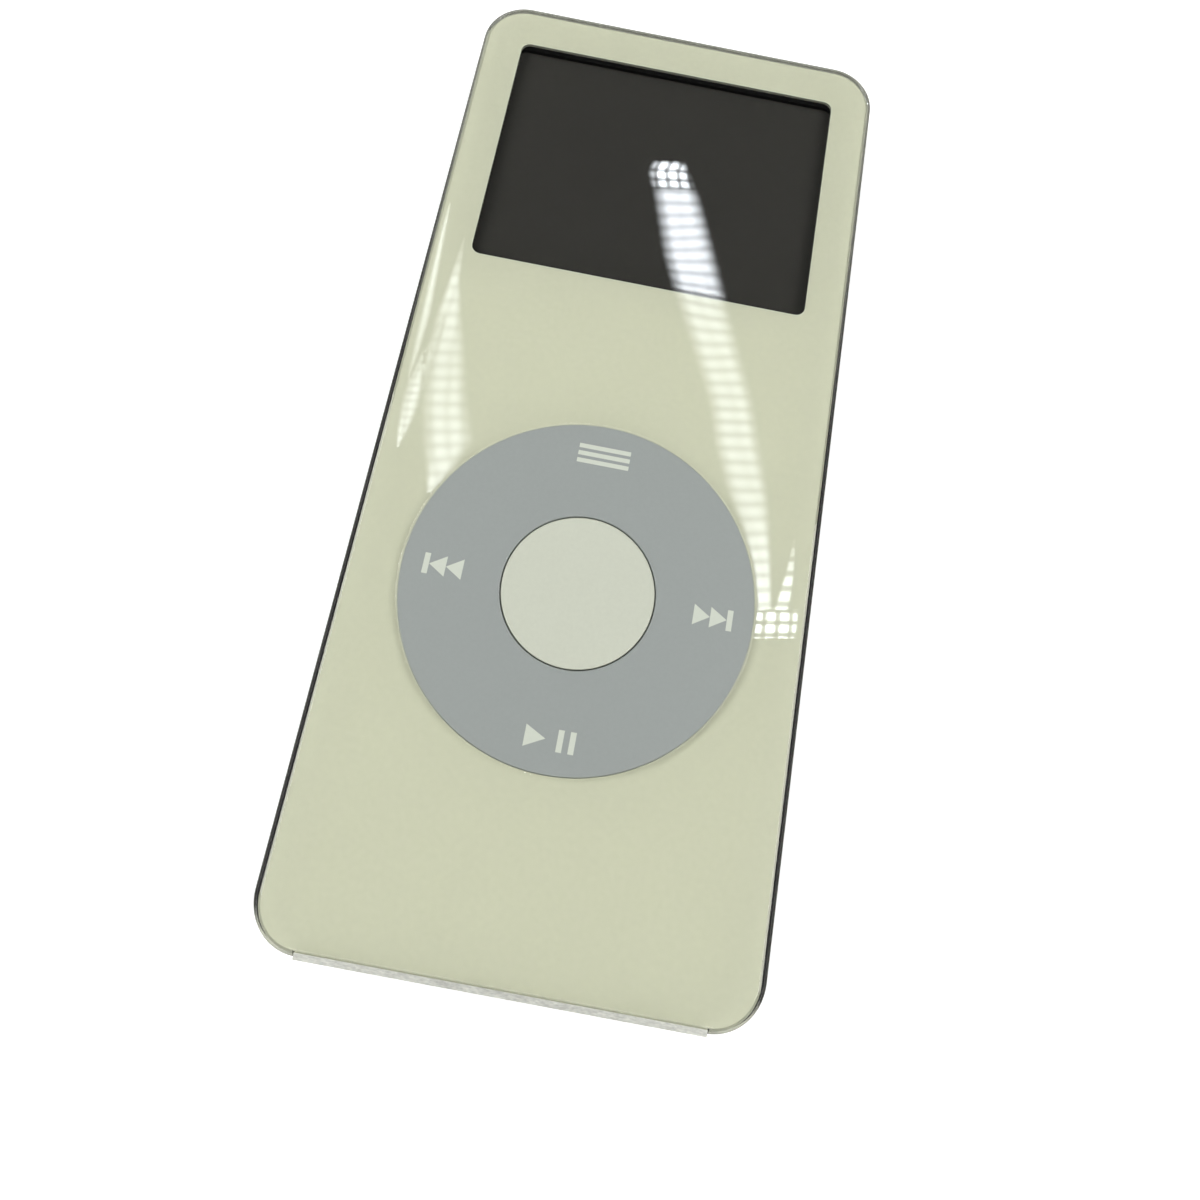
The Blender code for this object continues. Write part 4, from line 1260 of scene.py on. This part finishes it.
@dataclass(frozen=True)
class Panel:
    """A soft square lamp: where it hangs, its side and its power in watts."""

    name: str
    at: Place
    side: float
    power: float

    def build(self) -> None:
        """Hangs the lamp so that it faces the player."""
        data = bpy.data.lights.new(self.name, "AREA")
        data.shape = "SQUARE"
        data.size = self.side * MM
        data.energy = self.power
        made = bpy.data.objects.new(self.name, data)
        bpy.context.scene.collection.objects.link(made)
        aim = Vector(self.at).to_track_quat("Z", "Y").to_matrix().to_4x4()
        made.matrix_world = Matrix.Translation(Vector(self.at) * MM) @ aim


PANELS = (
    Panel("panel_left", (-460.0, 40.0, 600.0), 460.0, 2.6),
    Panel("panel_right", (460.0, 0.0, 600.0), 460.0, 2.6),
    Panel("panel_front", (0.0, -480.0, 420.0), 360.0, 0.6),
)


@dataclass(frozen=True)
class Studio:
    """Floor, world and lamps."""

    layout: Layout
    floor_side: float = 4000.0
    floor_corner_r: float = 100.0
    floor_z: Point = (-2.0, -0.02)
    floor_glow: float = 0.45
    floor_colors: tuple[str, str] = ("#9B9B98", "#F7F7F5")
    sky: tuple[Point, ...] = ((0.0, 0.8), (0.3, 0.9), (0.45, 0.4), (0.6, 0.03), (1.0, 0.015))

    def floor(self) -> None:
        """Plain pale floor under the player; it throws back less light than it shows."""
        outline = rounded(self.floor_side, self.floor_side, self.floor_corner_r, 4)
        made = stacked("floor", [(outline, z) for z in self.floor_z])
        material = bpy.data.materials.new("floor")
        nodes = Nodes(material)
        seen = nodes.add("LightPath")
        back, shown = (linear(code) for code in self.floor_colors)
        nodes.drive("Base Color", nodes.blend(seen, back, shown))
        nodes.shader.inputs["Roughness"].default_value = 0.9
        nodes.shader.inputs["Emission Color"].default_value = (1.0, 1.0, 1.0, 1.0)
        glow = nodes.add("Math", {0: seen, 1: self.floor_glow}, operation="MULTIPLY")
        nodes.drive("Emission Strength", glow.outputs[0])
        made.data.materials.append(material)

    def world(self) -> None:
        """Soft white room: bright towards the horizon, dim overhead."""
        world = bpy.data.worlds.new("studio")
        bpy.context.scene.world = world
        world.use_nodes = True
        tree = world.node_tree
        place = tree.nodes.new("ShaderNodeTexCoord")
        split = tree.nodes.new("ShaderNodeSeparateXYZ")
        ramp = tree.nodes.new("ShaderNodeValToRGB")
        elements = ramp.color_ramp.elements
        while len(elements) < len(self.sky):
            elements.new(0.5)
        for element, (at, shade) in zip(elements, self.sky):
            element.position = at
            element.color = (shade, shade, shade, 1.0)
        background = tree.nodes["Background"].inputs
        tree.links.new(place.outputs["Generated"], split.inputs["Vector"])
        tree.links.new(split.outputs["Z"], ramp.inputs["Fac"])
        tree.links.new(ramp.outputs["Color"], background["Color"])
        background["Strength"].default_value = 1.0

    def build(self) -> None:
        """Sets the whole stage."""
        self.floor()
        self.world()
        for panel in PANELS:
            panel.build()
        for streak in STREAKS:
            streak.build(float(self.layout.skin.high[2]))
        bpy.context.scene.view_settings.view_transform = "Standard"


def dress_frame() -> None:
    """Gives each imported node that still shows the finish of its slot."""
    slots = {entry["node"]: entry["material_slot"] for entry in frame["record"]["subparts"]}
    for node, made in frame["nodes"].items():
        material = material_of(SLOT_FINISHES[slots[node]])
        if not made.material_slots:
            made.data.materials.append(material)
        for slot in made.material_slots:
            slot.material = material


def main() -> None:
    """Builds every piece and the stage."""
    logging.basicConfig(level=logging.INFO)
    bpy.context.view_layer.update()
    dress_frame()
    layout = Layout()
    parts = (Skin, Tray, Window, Tub, JackMouth, HoldKnob, Ring, SelectButton, Legends, Studio)
    for part in parts:
        part(layout).build()
        log.info("%s built", part.__name__)
    CAMERA.build()


if __name__ == "__main__":
    main()
